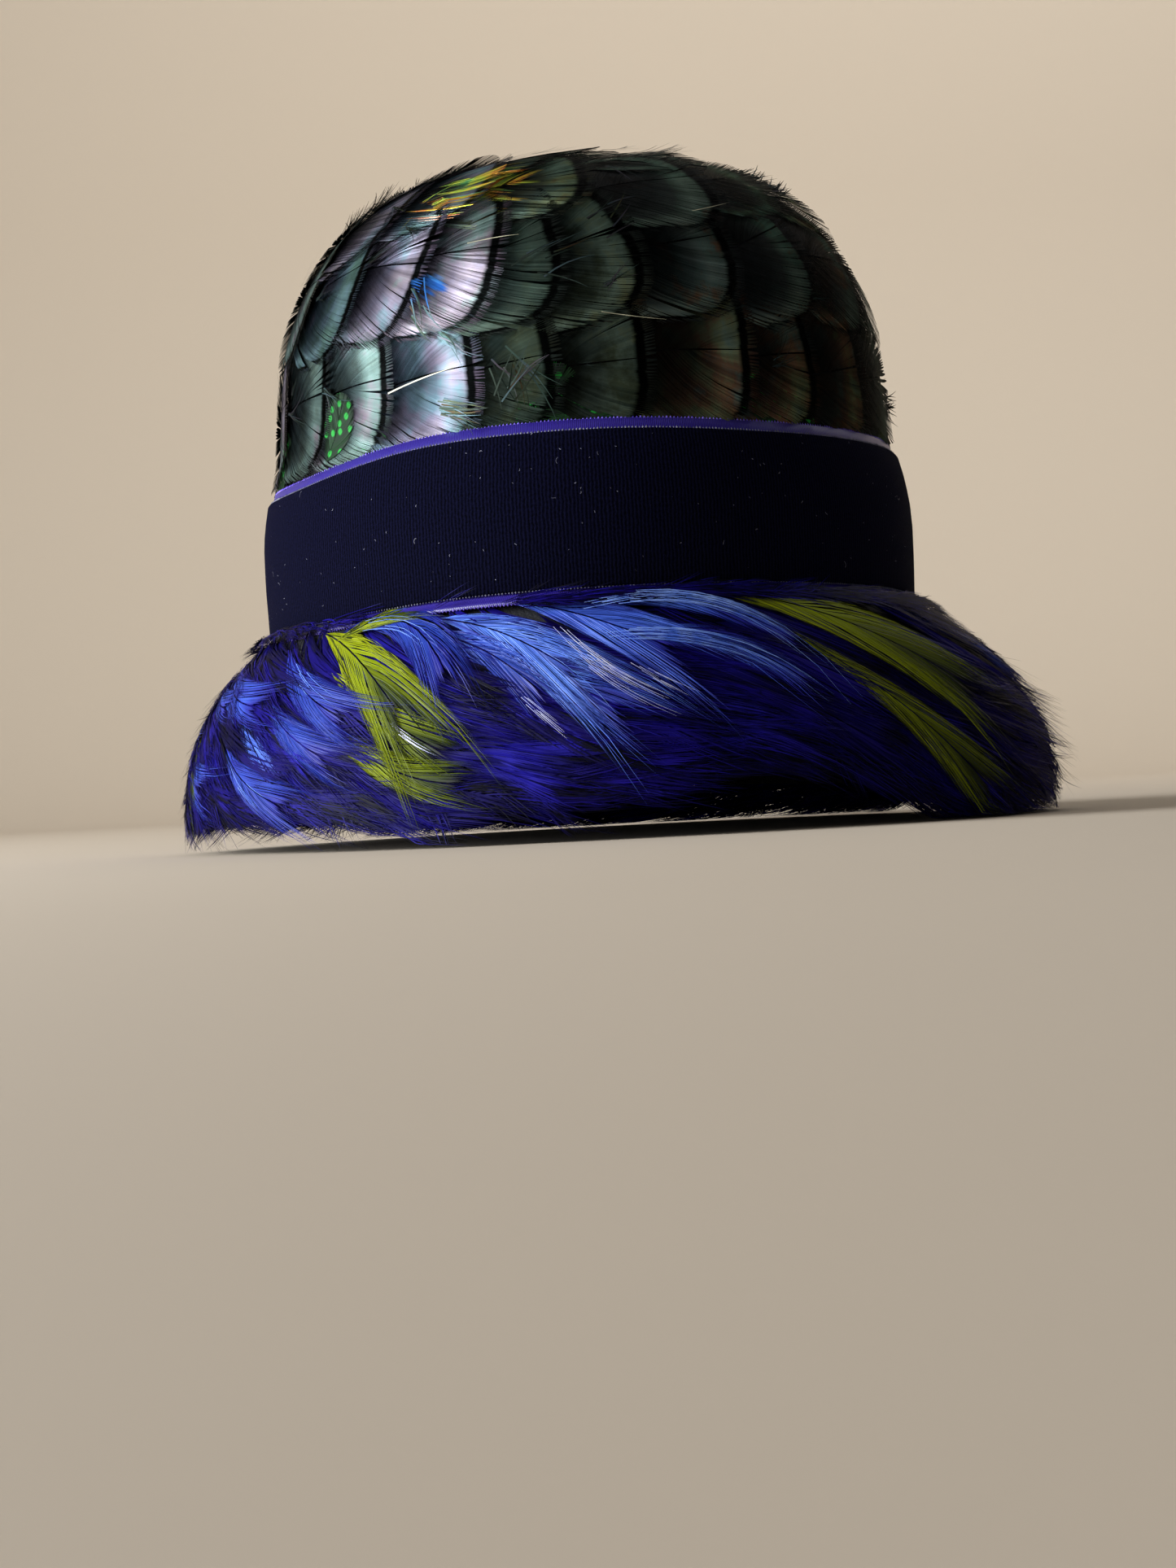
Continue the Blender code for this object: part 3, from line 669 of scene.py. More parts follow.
def brimScales(angle, share):
    # Metres for each radian round the brim and for the whole way down it, a quarter further
    # down than the roots and 3 mm off the cloth, where most of a feather lies.
    h = hatForm
    further, off = 0.25, 0.003
    flare = 1 - (1 - np.clip(share + further, 0, 1)) ** 2
    wide = h["headlineR"] + h["flareSide"] * flare + off
    long = h["headlineR"] * h["oval"] + h["flareFront"] * flare + off
    speed = np.hypot(wide * np.cos(angle), long * np.sin(angle))
    depth = np.hypot(h["flareSide"], h["headlineZ"] - edgeLift(angle))
    return speed, depth


def brimVanes(angles, shares, lengths, widths, barbs, rng, raised=0.0, webbed=0.55, fluff=1.0,
              gather=0.6, over=1.0, shades=None):
    # Barbs leave the quill at an acute angle and bow towards its tip: forward by a fixed part
    # and by their reach, sideways by a lanceolate width, sin(pi t^0.65)^0.8. Places along the
    # path are divided by over, for a path that already runs to the ends of the barbs.
    k = hackle
    count = len(angles)
    side, barb, step, edge = vaneAxes(barbs, k["stations"])
    one = (count, 1, 1, 1, 1)
    feather = np.arange(count).reshape(one)
    length, half = lengths.reshape(one), widths.reshape(one) / 2
    width = np.interp(step, [0.0, webbed, 1.0], [1.15, 1.0, 0.10])
    place = barbPlaces(barb, step, edge, barbs, width, rng, count, gather, 1)
    own = driftingNumbers((count, 2), barbs, max(3, barbs // 5), 0.15, rng)
    loose = rng.standard_normal((count, 2, barbs, 1, 1))
    spread = half * np.clip(np.sin(np.pi * np.clip(place, 0, 1) ** 0.65), 0, 1) ** 0.8
    sideways, ahead = k["uneven"]
    spread = spread * (1 + sideways * loose * step)
    reach = (k["forward"] + spread / np.tan(np.radians(k["barbAngle"]))) * (1 + ahead * loose)
    forward = reach * (0.86 * step + 0.14 * step ** 2)
    across = side * (spread * (1.30 * step - 0.30 * step ** 2) + 0.0002)
    at = (k["barbStart"] + k["barbRun"] * place + forward / length) / over
    # The path's own stations, read at any place along it.
    scale = (k["pathSteps"] - 1) / k["pathEnd"]
    whole = np.clip(at * scale, 0, k["pathSteps"] - 1.001)
    low = whole.astype(int)
    part = whole - low
    speed, depth = brimScales(angles[:, 0], shares[:, 0])
    speed, depth = speed.reshape(one), depth.reshape(one)
    flatX = (angles - angles[:, :1]) * speed[:, 0, 0, 0]
    flatY = (shares - shares[:, :1]) * depth[:, 0, 0, 0]
    runX, runY = np.gradient(flatX, axis=1), np.gradient(flatY, axis=1)
    norm = np.hypot(runX, runY)

    def along(table):
        return table[feather, low] * (1 - part) + table[feather, low + 1] * part

    dirX, dirY = along(runX / norm), along(runY / norm)
    x, y = along(flatX) - across * dirY, along(flatY) + across * dirX
    angle = angles[:, 0].reshape(one) + x / speed
    share = shares[:, 0].reshape(one) + y / depth
    lift = k["slope"] * length * np.clip(at, 0, 1.2) + raised
    lift = lift + fluff * k["fluff"] * step ** 2 * (own - 0.35)
    # Each barb is tilted a little, and the web is crowned along its quill.
    lift = lift + edge * (rng.random(own.shape) - 0.5) * k["tilt"]
    lift = lift - k["crowned"] * (across / np.maximum(half, 0.001)) ** 2
    lift = (k["base"] + np.maximum(lift, 0.0)) * (1 + hatForm["sideFluff"] * np.sin(angle))
    # Roots lie under the ribbon's edge.
    free = np.clip(share - k["freeShare"], 0, None) * k["freeSlope"]
    lift = np.minimum(lift, k["rootLift"] + free)
    fromEnd = (1 - step) * np.hypot(reach, spread)
    shade = rng.random(one) if shades is None else shades
    points = brimSkin(angle, share, lift)
    return points, perPoint(points, place, fromEnd / vaneUnit, shade, own)


def addHackles(name, vaneSets, finish, nodes=()):
    points = np.concatenate([points.reshape(-1, 3) for points, _ in vaneSets])
    tags = np.concatenate([tag.reshape(-1, 4) for _, tag in vaneSets])
    faces = ribbonFaces(len(points) // (2 * hackle["stations"]), hackle["stations"])
    addPiece(name, points, faces, finish, nodes, {"barbs": tags}, floored=True)


def keptHeading(share, length, heading, bend, reach, depth):
    # The heading, or the flatter one whose path falls just to the reach: a path with an even
    # bend falls by length * sin(heading + bend / 2), and the barbs end past the quill.
    past = 1.25
    allowed = (reach - share) * depth / (length * past)
    flattest = np.arcsin(np.clip(allowed, -0.2, 0.9)) - bend * past / 2
    return np.minimum(heading, flattest)


def clumpedReach(angle, rng, clumps=46, low=0.93, high=1.02):
    # How far down the brim each feather may end: one number for every clump round the edge.
    table = rng.uniform(low, high, clumps)
    return table[((angle / (2 * np.pi) * clumps).astype(int)) % clumps]


# Rows of blue hackles, from the lower edge up, so that the upper ones lie on the lower.
blueRows = [
    # root share, feathers, length, width, heading, bend, barbs
    (0.86, 100, 0.030, 0.009, 15, -8, 16),
    (0.76, 96, 0.038, 0.011, 20, -10, 20),
    (0.62, 84, 0.046, 0.012, 26, -14, 24),
    (0.48, 76, 0.052, 0.013, 30, -14, 26),
    (0.34, 72, 0.056, 0.014, 32, -12, 28),
    (0.20, 70, 0.058, 0.014, 34, -10, 28),
    (0.08, 72, 0.058, 0.014, 34, -8, 28),
    (0.00, 70, 0.050, 0.012, 33, -6, 26),
]
# How far a feather strays from its row: in spacings, share down the brim, shares of its size,
# degrees of bend and heading, and lift.
blueStray = dict(
    spacing=0.4, share=0.05, sizes=(0.8, 1.2), bend=8, heading=3, raised=(-0.0006, 0.0010))


def makeBlueHackles(finish):
    k = blueStray
    rng = np.random.default_rng(hackle["seed"])
    sets = []
    for rootShare, count, length, width, heading, bend, barbs in blueRows:
        spot = np.arange(count) + rng.uniform(-k["spacing"], k["spacing"], count)
        angle = np.radians(spot * 360 / count)
        share = rootShare + rng.uniform(-k["share"], k["share"], count) * (rootShare > 0.1)
        lengths = length * rng.uniform(*k["sizes"], count)
        # Headings swing by up to 6 and 4 degrees, in five and eleven waves round the brim.
        swing = 6 * np.sin(5 * angle + rootShare * 7) + 4 * np.sin(11 * angle - rootShare * 5)
        bends = np.radians(bend + rng.uniform(-k["bend"], k["bend"], count))
        _, depth = brimScales(angle, share)
        headings = heading + swing + rng.uniform(-k["heading"], k["heading"], count)
        headings = np.radians(headings)
        headings = keptHeading(share, lengths, headings, bends, clumpedReach(angle, rng), depth)
        path = pathOnBrim(angle, share, lengths, headings, bends)
        raised = rng.uniform(*k["raised"], count).reshape(-1, 1, 1, 1, 1)
        widths = width * rng.uniform(*k["sizes"], count)
        sets.append(brimVanes(*path, lengths, widths, barbs, rng, raised=raised))
    addHackles("blueHacklesLow", sets[:4], finish, nodes=["hackle_skirt"])
    addHackles("blueHacklesHigh", sets[4:], finish)


def drawnPath(rows):
    # A smooth path through marked places: each of angle and share is a low polynomial of the
    # distance along them.
    angles, shares = np.array(rows).T
    angles = np.radians(angles)
    speed, depth = brimScales(angles[:1], shares[:1])
    steps = np.hypot(np.diff(angles) * speed, np.diff(shares) * depth)
    far = np.concatenate([[0.0], np.cumsum(steps)])
    length = far[-1]
    u = np.linspace(0.0, hackle["pathEnd"], hackle["pathSteps"])
    degree = min(len(rows) - 1, 2)
    fits = [np.polyval(np.polyfit(far / length, values, degree), u) for values in (angles, shares)]
    return fits[0], fits[1], length


def drawnHackles(rows, barbs, rng, **options):
    # Hackles laid one by one along their own marked places, which run to the barbs' ends.
    angles, shares, lengths = (np.array(v) for v in zip(*(drawnPath(row[3]) for row in rows)))
    widths, raised, shades = np.array([row[:3] for row in rows]).T
    one = (-1, 1, 1, 1, 1)
    return brimVanes(angles, shares, lengths, widths, barbs, rng, raised=raised.reshape(one),
                     over=1.22, shades=shades.reshape(one), **options)


# Broad soft cornflower webs among the blue: width, raised, shade (light near 1, dark at 0 and
# below), and marked places as angle and share.
cornflowerRows = [
    (0.013, 0.0024, -0.10, [(-43, 0.13), (-34, 0.06), (-25, 0.16), (-19.5, 0.40), (-17, 0.62)]),
    (0.014, 0.0026, -0.08, [(-54, 0.16), (-48, 0.31), (-41, 0.44), (-31, 0.57)]),
    (0.012, 0.0026, -0.15, [(-53, 0.38), (-47, 0.54), (-41, 0.66), (-34, 0.74)]),
    (0.013, 0.0026, -0.10, [(-62, 0.58), (-56, 0.73), (-50, 0.86), (-40, 0.98)]),
    (0.020, 0.0016, 0.90, [(-25, 0.09), (-15, 0.17), (-7, 0.31), (1, 0.54)]),
    (0.018, 0.0018, 0.55, [(-13, 0.05), (-3, 0.12), (6, 0.26), (13, 0.46)]),
    (0.014, 0.0020, 0.75, [(-19, 0.22), (-11, 0.32), (-3, 0.47), (5, 0.70)]),
    (0.011, 0.0016, 0.20, [(-27, 0.14), (-17, 0.24), (-10, 0.42), (-5, 0.60)]),
    (0.008, 0.0020, 0.60, [(-4, 0.10), (8, 0.09), (20, 0.15), (27, 0.33), (31, 0.62)]),
    (0.009, 0.0016, 0.40, [(0, 0.22), (10, 0.28), (20, 0.38), (26, 0.56), (30, 0.80)]),
    (0.010, 0.0012, 0.30, [(52, 0.08), (66, 0.20), (78, 0.36), (88, 0.56)]),
]


# More of them, scattered round the sides and the back. The ones above have drawnBarbs barbs
# on each side of their quills.
cornflowerScatter = dict(
    seed=31, drawnBarbs=64,
    count=26, barbs=48, angles=(95, 290), jitter=4, shares=(0.02, 0.55), lengths=(0.042, 0.060),
    headings=(22, 42), bends=(-22, 10), widths=(0.009, 0.015), raised=0.0010)


def makeCornflower(finish):
    k = cornflowerScatter
    rng = np.random.default_rng(k["seed"])
    front = drawnHackles(
        cornflowerRows, k["drawnBarbs"], rng, webbed=0.88, fluff=0.4, gather=0.18)
    count = k["count"]
    angle = np.linspace(*k["angles"], count) + rng.uniform(-1, 1, count) * k["jitter"]
    share = rng.uniform(*k["shares"], count)
    lengths = rng.uniform(*k["lengths"], count)
    headings, bends = (np.radians(rng.uniform(*k[key], count)) for key in ("headings", "bends"))
    path = pathOnBrim(np.radians(angle), share, lengths, headings, bends)
    scattered = brimVanes(*path, lengths, rng.uniform(*k["widths"], count), k["barbs"], rng,
                          raised=k["raised"], webbed=0.85, fluff=0.5, gather=0.25)
    addHackles("cornflowerHackles", [front, scattered], finish)


# The chartreuse ones, in the same columns: the left group, the right one, and the others.
greenRows = [
    (0.021, 0.0026, 0.9, [(-47, 0.10), (-38, 0.22), (-29, 0.40), (-23, 0.66)]),
    (0.008, 0.0030, 1.0, [(-43, 0.17), (-36, 0.07), (-27, 0.01)]),
    (0.010, 0.0024, 0.8, [(-41, 0.30), (-31, 0.45), (-25, 0.62), (-15, 0.82)]),
    (0.010, 0.0022, 0.8, [(-41, 0.54), (-30.5, 0.70), (-23, 0.81), (-12, 0.93)]),
    (0.010, 0.0022, 0.6, [(-80, 0.42), (-77, 0.60), (-72, 0.88)]),
    (0.017, 0.0026, 0.6, [(17, 0.05), (31, 0.12), (41, 0.26), (49, 0.45), (59, 0.72)]),
    (0.014, 0.0030, 0.1, [(27, 0.26), (36, 0.52), (41, 0.69), (47, 0.86), (55, 1.04)]),
    (0.011, 0.0016, 0.6, [(100, 0.10), (112, 0.25), (124, 0.48), (136, 0.80)]),
    (0.009, 0.0014, 0.4, [(104, 0.50), (114, 0.62), (125, 0.80), (136, 0.96)]),
    (0.011, 0.0016, 0.6, [(172, 0.12), (184, 0.28), (197, 0.52), (210, 0.84)]),
    (0.010, 0.0014, 0.4, [(218, 0.20), (228, 0.38), (240, 0.62), (252, 0.92)]),
]


def makeGreenHackles(finish, seed=37, barbs=64):
    rng = np.random.default_rng(seed)
    nodes = [f"green_hackle_{number:02d}" for number in range(1, 10)]
    vanes = drawnHackles(greenRows, barbs, rng, webbed=0.85, fluff=0.5, gather=0.22)
    addHackles("greenHackles", [vanes], finish, nodes)


def turnedBand(name, profile, finish, nodes, columns=480):
    # A closed profile of heights and lifts, carried round the band. Its heights, given between
    # the plain ribbon's edges, are stretched to the edges that each angle has, and the map
    # runs in mm.
    profile = np.array(profile)
    angle = np.pi + np.arange(columns) * (2 * np.pi / columns)
    plain, low, high = profile[:, :1], *ribbonEdges(angle)
    bottom, top = ribbon["velvetBottom"], ribbon["velvetTop"]
    share = (plain - bottom) / (top - bottom)
    height = plain + (low - bottom) * (1 - share) + (high - top) * share
    points = bandSkin(angle[None, :], height, np.broadcast_to(profile[:, 1:2], height.shape))
    steps = np.linalg.norm(np.roll(points[0], -1, axis=0) - points[0], axis=1) * 1000
    around = np.cumsum(steps) - steps
    flat = np.stack(np.broadcast_arrays(around[None, :], profile[:, :1] * 1000), axis=-1)
    band = addPiece(name, points, gridFaces(len(profile), columns), finish, nodes,
                    maps={"cloth": flat}, orient=False, wrap=steps.sum())


# The ribbons' edges, how far their backs (Lift) and faces stand off the band, the rounding
# of the velvet's edges, and the size and spacing of the thread loops along all four edges.
ribbon = dict(
    velvetBottom=0.0568, velvetTop=0.0948, velvetLift=0.0019, velvetFace=0.0028,
    velvetRound=0.0005, satinBottom=0.0537, satinTop=0.0975, satinLift=0.0012, satinFace=0.0016,
    velvetFlat=(0.038, 0.580), satinFlat=(0.044, 0.575),   # as cut: width, length
    picotSize=(0.00028, 0.00022, 0.00040), picotPitch=0.0009,
    toothSize=(0.00030, 0.00020, 0.00045), toothPitch=0.0010,
    seed=41, loopStray=0.15)                               # how uneven the loops are
# An eight-faced bead of half-size 1, in the order round the band, off it, up.
beadCorners = np.array([(0, 0, 1), (1, 0, 0), (0, 1, 0), (-1, 0, 0), (0, -1, 0), (0, 0, -1)])
beadFaces = np.array([(0, 2, 1), (0, 3, 2), (0, 4, 3), (0, 1, 4),
                      (5, 1, 2), (5, 2, 3), (5, 3, 4), (5, 4, 1)])


def loopRow(edge, above, lift, pitch, size, rng):
    # A row of small thread loops a little above or below the velvet's lower (0) or upper (1)
    # edge, and lifted off the band: beads drawn out up and down.
    level = ribbon["velvetTop"] if edge else ribbon["velvetBottom"]
    around = 2 * np.pi * (bandRadius(level) + lift) * (1 + hatForm["oval"]) / 2
    count = int(around / pitch)
    angle = np.arange(count) * (2 * np.pi / count)
    height = ribbonEdges(angle)[edge][:, None] + above
    radius = bandRadius(height) + lift
    angle = angle[:, None]
    speed = np.hypot(radius * np.cos(angle), radius * hatForm["oval"] * np.sin(angle))
    stray = ribbon["loopStray"] * rng.standard_normal((count, 1, 1))
    local = beadCorners * np.array(size) * (1 + stray)
    points = bandSkin(angle + local[..., 0] / speed, height + local[..., 2], lift + local[..., 1])
    faces = np.arange(count)[:, None, None] * len(beadCorners) + beadFaces
    return points.reshape(-1, 3), faces.reshape(-1, 3)


def addLoops(name, rows, finish):
    # The rows as one piece: each row's faces are numbered on from the rows before it.
    first = np.cumsum([0] + [len(points) for points, _ in rows])
    faces = [faces + start for (_, faces), start in zip(rows, first)]
    addPiece(name, np.concatenate([points for points, _ in rows]), np.concatenate(faces),
             finish, orient=False)


def makeRibbons(velvet, satin, velvetThread, satinThread):
    r = ribbon
    rng = np.random.default_rng(r["seed"])
    low, high, inner, face, soft = (r[k] for k in (
        "velvetBottom", "velvetTop", "velvetLift", "velvetFace", "velvetRound"))
    # Height and lift of each point of the section, from the lower edge's back over the face.
    turnedBand("velvetRibbon", [
        (low, inner), (low, face - soft), (low + soft * 0.3, face - soft * 0.3),
        (low + soft, face), (0.0640, face), (0.0700, face), (0.0760, face), (0.0820, face),
        (0.0860, face), (0.0900, face), (high - soft, face),
        (high - soft * 0.3, face - soft * 0.3), (high, face - soft), (high, inner),
        (0.0840, inner), (0.0700, inner)], velvet, ["velvet_ribbon"])
    # The satin's lower edge is pushed out over the roots of the hackles.
    low, high, inner, face = (r[k] for k in ("satinBottom", "satinTop", "satinLift", "satinFace"))
    turnedBand("satinRibbon", [
        (low, 0.0049), (0.0550, 0.0034), (0.0564, 0.0016), (0.0700, face), (0.0820, face),
        (0.0880, face), (0.0945, face), (high, face), (high, inner), (0.0945, inner),
        (0.0840, inner), (0.0700, inner), (0.0561, 0.0012), (0.0547, 0.0030),
        (low - 0.0002, 0.0045)], satin, ["satin_ribbon"])
    picot, tooth = (r["picotPitch"], r["picotSize"], rng), (r["toothPitch"], r["toothSize"], rng)
    addLoops("velvetPicots", [
        loopRow(0, -0.0001, r["velvetFace"] - 0.0005, *picot),
        loopRow(1, 0.0001, r["velvetFace"] - 0.0005, *picot)], velvetThread)
    addLoops("satinTeeth", [
        loopRow(1, high - r["velvetTop"], 0.0014, *tooth),
        loopRow(0, low - r["velvetBottom"], 0.0047, *tooth)], satinThread)


def bentStrips(heading, bend, length, width, stations, taper):
    # Narrow flat strips whose middle lines turn evenly by bend, and which get narrower by
    # taper * u^2. Gives u, the distance along a strip, and the two flat coordinates.
    heading, bend, length, width = (v[:, None, None] for v in (heading, bend, length, width))
    u = np.linspace(0, 1, stations)[None, :, None]
    edge = np.array([-1.0, 1.0])[None, None, :]
    half = edge * width / 2 * (1 - taper * u ** 2)
    turned, ahead = heading + bend * u / 2, heading + bend * u
    x = length * u * np.cos(turned) - half * np.sin(ahead)
    return u, x, length * u * np.sin(turned) + half * np.cos(ahead)


def brimHairs(angle, share, length, heading, bend, width, lift, rng):
    # Single barbs on the brim, as tapering strips.
    u, across, down = bentStrips(heading, bend, length, width, hackle["stations"], 0.9)
    low, high = (v[:, None, None] for v in lift)
    speed, depth = (v[:, None, None] for v in brimScales(angle, share))
    points = brimSkin(angle[:, None, None] + across / speed, share[:, None, None] + down / depth,
                      low + (high - low) * u ** 1.5)
    own, other = rng.random(len(angle))[:, None, None], rng.random(len(angle))[:, None, None]
    fromEnd = (1 - u) * length[:, None, None]
    return points, perPoint(points, 0.3, fromEnd / vaneUnit, other, own)


# Loose barbs. Each strays from its group: out of line, in degrees of heading and bend, by a
# fan in radians for each metre off the group's middle, and in shares of its length. Along an
# arc each begins somewhere, covers a part of it, fans out by fan, rises and narrows.
strand = dict(
    seed=53, bends=(-25, 12), rises=(0.0002, 0.0020),      # where a group names none
    outOfLine=0.0012, headingStray=3.0, bendStray=5, fanned=18, lengths=(0.7, 1.12),
    begins=(0.0, 0.45), covers=(0.25, 0.60), fan=(0.55, 0.6), rise=0.0012,
    liftStray=(-0.0003, 0.0006), taper=0.85)


def strandClusters(row, rng):
    # Groups of parallel free barbs. Where an end share is given, the heading is the one that
    # brings them there: sin(heading) = drop / length.
    k = strand
    count, n = row["groups"], row["groups"] * row["each"]
    low, high = row.get("angles", (-180, 180))
    pick = np.repeat(np.arange(count), row["each"])
    angle, share = np.radians(rng.uniform(low, high, count)), rng.uniform(*row["shares"], count)
    length = rng.uniform(*row["lengths"], count)
    speed, depth = brimScales(angle, share)
    bend = np.radians(rng.uniform(*row.get("bends", k["bends"]), count))
    if "ends" in row:
        drop = (rng.uniform(*row["ends"], count) - share) * depth
        heading = np.arcsin(np.clip(drop / length, -0.95, 0.95)) - bend / 2
    else:
        heading = np.radians(rng.uniform(*row["headings"], count))
    offset = rng.uniform(-1, 1, n) * row["spread"]
    speed, depth, heading, length = speed[pick], depth[pick], heading[pick], length[pick]
    # Barbs of a group lie side by side, a little out of line, and fan out.
    angle = angle[pick] + (rng.normal(0, k["outOfLine"], n) - offset * np.sin(heading)) / speed
    share = share[pick] + offset * np.cos(heading) / depth
    heading = heading + np.radians(rng.normal(0, k["headingStray"], n)) + offset * k["fanned"]
    bend = bend[pick] + np.radians(rng.normal(0, k["bendStray"], n))
    length = length * rng.uniform(*k["lengths"], n)
    fluff = 1 + row.get("fluff", hatForm["sideFluff"]) * np.sin(angle)
    start = rng.uniform(*row["lifts"], count)[pick] * fluff
    end = start + rng.uniform(*row.get("rises", k["rises"]), n) * fluff
    return brimHairs(angle, share, length, heading, bend, np.full(n, row["width"]),
                     (start, end), rng)


def arcStrands(row, rng):
    # Parallel long barbs that follow a smooth path through marked places and fan out a little
    # along it; each covers its own part of the path.
    k = strand
    angles, shares, length = drawnPath(row["places"])
    count = row["count"]
    speed, depth = brimScales(angles[:1], shares[:1])
    far = np.linspace(0.0, hackle["pathEnd"], hackle["pathSteps"])
    runX, runY = np.gradient(angles) * speed, np.gradient(shares) * depth
    norm = np.hypot(runX, runY)
    begin = rng.uniform(*k["begins"], count)
    finish = np.minimum(begin + rng.uniform(*k["covers"], count), 1.0)
    t = np.linspace(0, 1, hackle["stations"])[None, :, None]
    u = begin[:, None, None] + (finish - begin)[:, None, None] * t
    edge = np.array([-1.0, 1.0])[None, None, :]
    narrow, wider = k["fan"]
    aside = rng.uniform(-1, 1, count)[:, None, None] * row["spread"] * (narrow + wider * u)
    aside = aside + edge * row["width"] / 2 * (1 - k["taper"] * t ** 2)
    dirX, dirY = np.interp(u, far, runX / norm), np.interp(u, far, runY / norm)
    angle = np.interp(u, far, angles) - aside * dirY / speed
    share = np.interp(u, far, shares) + aside * dirX / depth
    high = row["lift"] + k["rise"] * u + rng.uniform(*k["liftStray"], count)[:, None, None]
    points = brimSkin(angle, share, high * (1 + hatForm["sideFluff"] * np.sin(angle)))
    own = rng.random(count)[:, None, None]
    return points, perPoint(points, 0.3, (1 - t) * length / vaneUnit, own, own)


# Pale glossy barbs that catch the light: number, half the bundle's width, barb width, lift
# and marked places.
arcRows = [
    dict(count=30, spread=0.0026, width=0.00018, lift=0.0052,
         places=[(-3, 0.10), (8.5, 0.09), (20.5, 0.14), (27, 0.33), (30, 0.65)]),
    dict(count=24, spread=0.0030, width=0.00016, lift=0.0050,
         places=[(0.5, 0.22), (10, 0.32), (21, 0.39), (26.5, 0.59), (29, 0.78)]),
    dict(count=8, spread=0.0026, width=0.00012, lift=0.0046,
         places=[(-41.5, 0.13), (-32, 0.09), (-21, 0.28), (-18, 0.58)]),
    dict(count=14, spread=0.0040, width=0.00012, lift=0.0050,
         places=[(-16.5, 0.18), (-10.5, 0.17), (-4, 0.30), (-0.5, 0.46), (4, 0.64)]),
    dict(count=5, spread=0.0026, width=0.00011, lift=0.0044,
         places=[(-57.5, 0.68), (-52, 0.84), (-43.5, 0.97)]),
    dict(count=5, spread=0.0026, width=0.00011, lift=0.0044,
         places=[(-50, 0.22), (-41.5, 0.40), (-32.5, 0.54)]),
]
# Fewer and nearly white ones, where the light glints: their pale colour is a painted glint
# on the blue barbs, over their own gloss.
glintRows = [
    dict(count=18, spread=0.0030, width=0.00010, lift=0.0056,
         places=[(-6, 0.18), (-2, 0.30), (4.5, 0.56), (10, 0.68)]),
    dict(count=9, spread=0.0013, width=0.00011, lift=0.0058,
         places=[(-10.5, 0.49), (-7.5, 0.59), (-3.5, 0.73)]),
    dict(count=8, spread=0.0016, width=0.00010, lift=0.0058,
         places=[(3.5, 0.38), (8, 0.52), (12, 0.64)]),
    dict(count=7, spread=0.0018, width=0.00009, lift=0.0054,
         places=[(-29, 0.50), (-24, 0.62), (-19, 0.72)]),
]
# Loose blue barbs in groups: how many groups and barbs in each, where they start down the
# brim, length, heading (or the share where they end), half the group's width, and lift.
strandRows = [
    # over the middle of the brim
    dict(groups=120, each=12, shares=(0.10, 0.70), lengths=(0.020, 0.040), headings=(22, 38),
         spread=0.0022, lifts=(0.0030, 0.0042), width=0.00022),
    # at the lower edge, and past it
    dict(groups=330, each=13, shares=(0.84, 0.95), lengths=(0.012, 0.024), ends=(0.96, 1.05),
         spread=0.0018, lifts=(0.0020, 0.0042), width=0.00026),
    dict(groups=40, each=11, shares=(0.88, 0.96), lengths=(0.009, 0.014), ends=(1.05, 1.14),
         spread=0.0020, lifts=(0.0026, 0.0046), width=0.00024),
    # over the satin's lower edge, all but on the -X side, where fewer lie lower
    dict(groups=300, each=12, shares=(0.030, 0.070), lengths=(0.010, 0.020), headings=(-11, 1),
         bends=(6, 24), spread=0.0010, lifts=(0.0046, 0.0052), width=0.00026, angles=(-12, 238),
         fluff=0.08),
    dict(groups=70, each=10, shares=(0.040, 0.070), lengths=(0.010, 0.018), headings=(-6, 6),
         bends=(6, 24), spread=0.0010, lifts=(0.0034, 0.0042), width=0.00022, angles=(238, 318),
         fluff=0.20),
    # tufts that stand up along the outline on both sides
    dict(groups=60, each=8, shares=(0.20, 0.88), lengths=(0.012, 0.022), headings=(26, 52),
         spread=0.0014, lifts=(0.0040, 0.0050), rises=(0.0010, 0.0050), width=0.00020,
         angles=(55, 118)),
    dict(groups=60, each=8, shares=(0.20, 0.88), lengths=(0.012, 0.022), headings=(26, 60),
         spread=0.0014, lifts=(0.0036, 0.0044), rises=(0.0010, 0.0050), width=0.00020,
         angles=(-118, -62)),
    # a few that point up over the ribbons in front
    dict(groups=6, each=6, shares=(0.04, 0.08), lengths=(0.010, 0.016), headings=(-30, -14),
         spread=0.0010, lifts=(0.0050, 0.0056), width=0.00014, angles=(-26, 40)),
    # from the satin's edge down to the feathers below it
    dict(groups=110, each=10, shares=(0.060, 0.110), lengths=(0.014, 0.026), headings=(12, 30),
         spread=0.0016, lifts=(0.0046, 0.0052), rises=(-0.0010, 0.0022), width=0.00022,
         angles=(52, 236), fluff=0.10),
]


def makeBlueStrands(finish, paleFinish, glintFinish):
    rng = np.random.default_rng(strand["seed"])
    addHackles("blueStrands", [strandClusters(row, rng) for row in strandRows], finish)
    addHackles("paleBarbs", [arcStrands(row, rng) for row in arcRows], paleFinish)
    addHackles("paintedGlintBarbs", [arcStrands(row, rng) for row in glintRows], glintFinish)


# Curled fibres and specks caught on the velvet. Most are specks, a third as long.
lint = dict(
    count=320, stations=5, seed=61, heights=(0.0580, 0.0935), lengths=(0.0002, 0.0016),
    specks=0.88, speckLength=0.35, bends=(-3.5, 3.5), width=0.00012, off=0.00012, rise=0.0003,
    perRadian=0.092)       # metres round the band


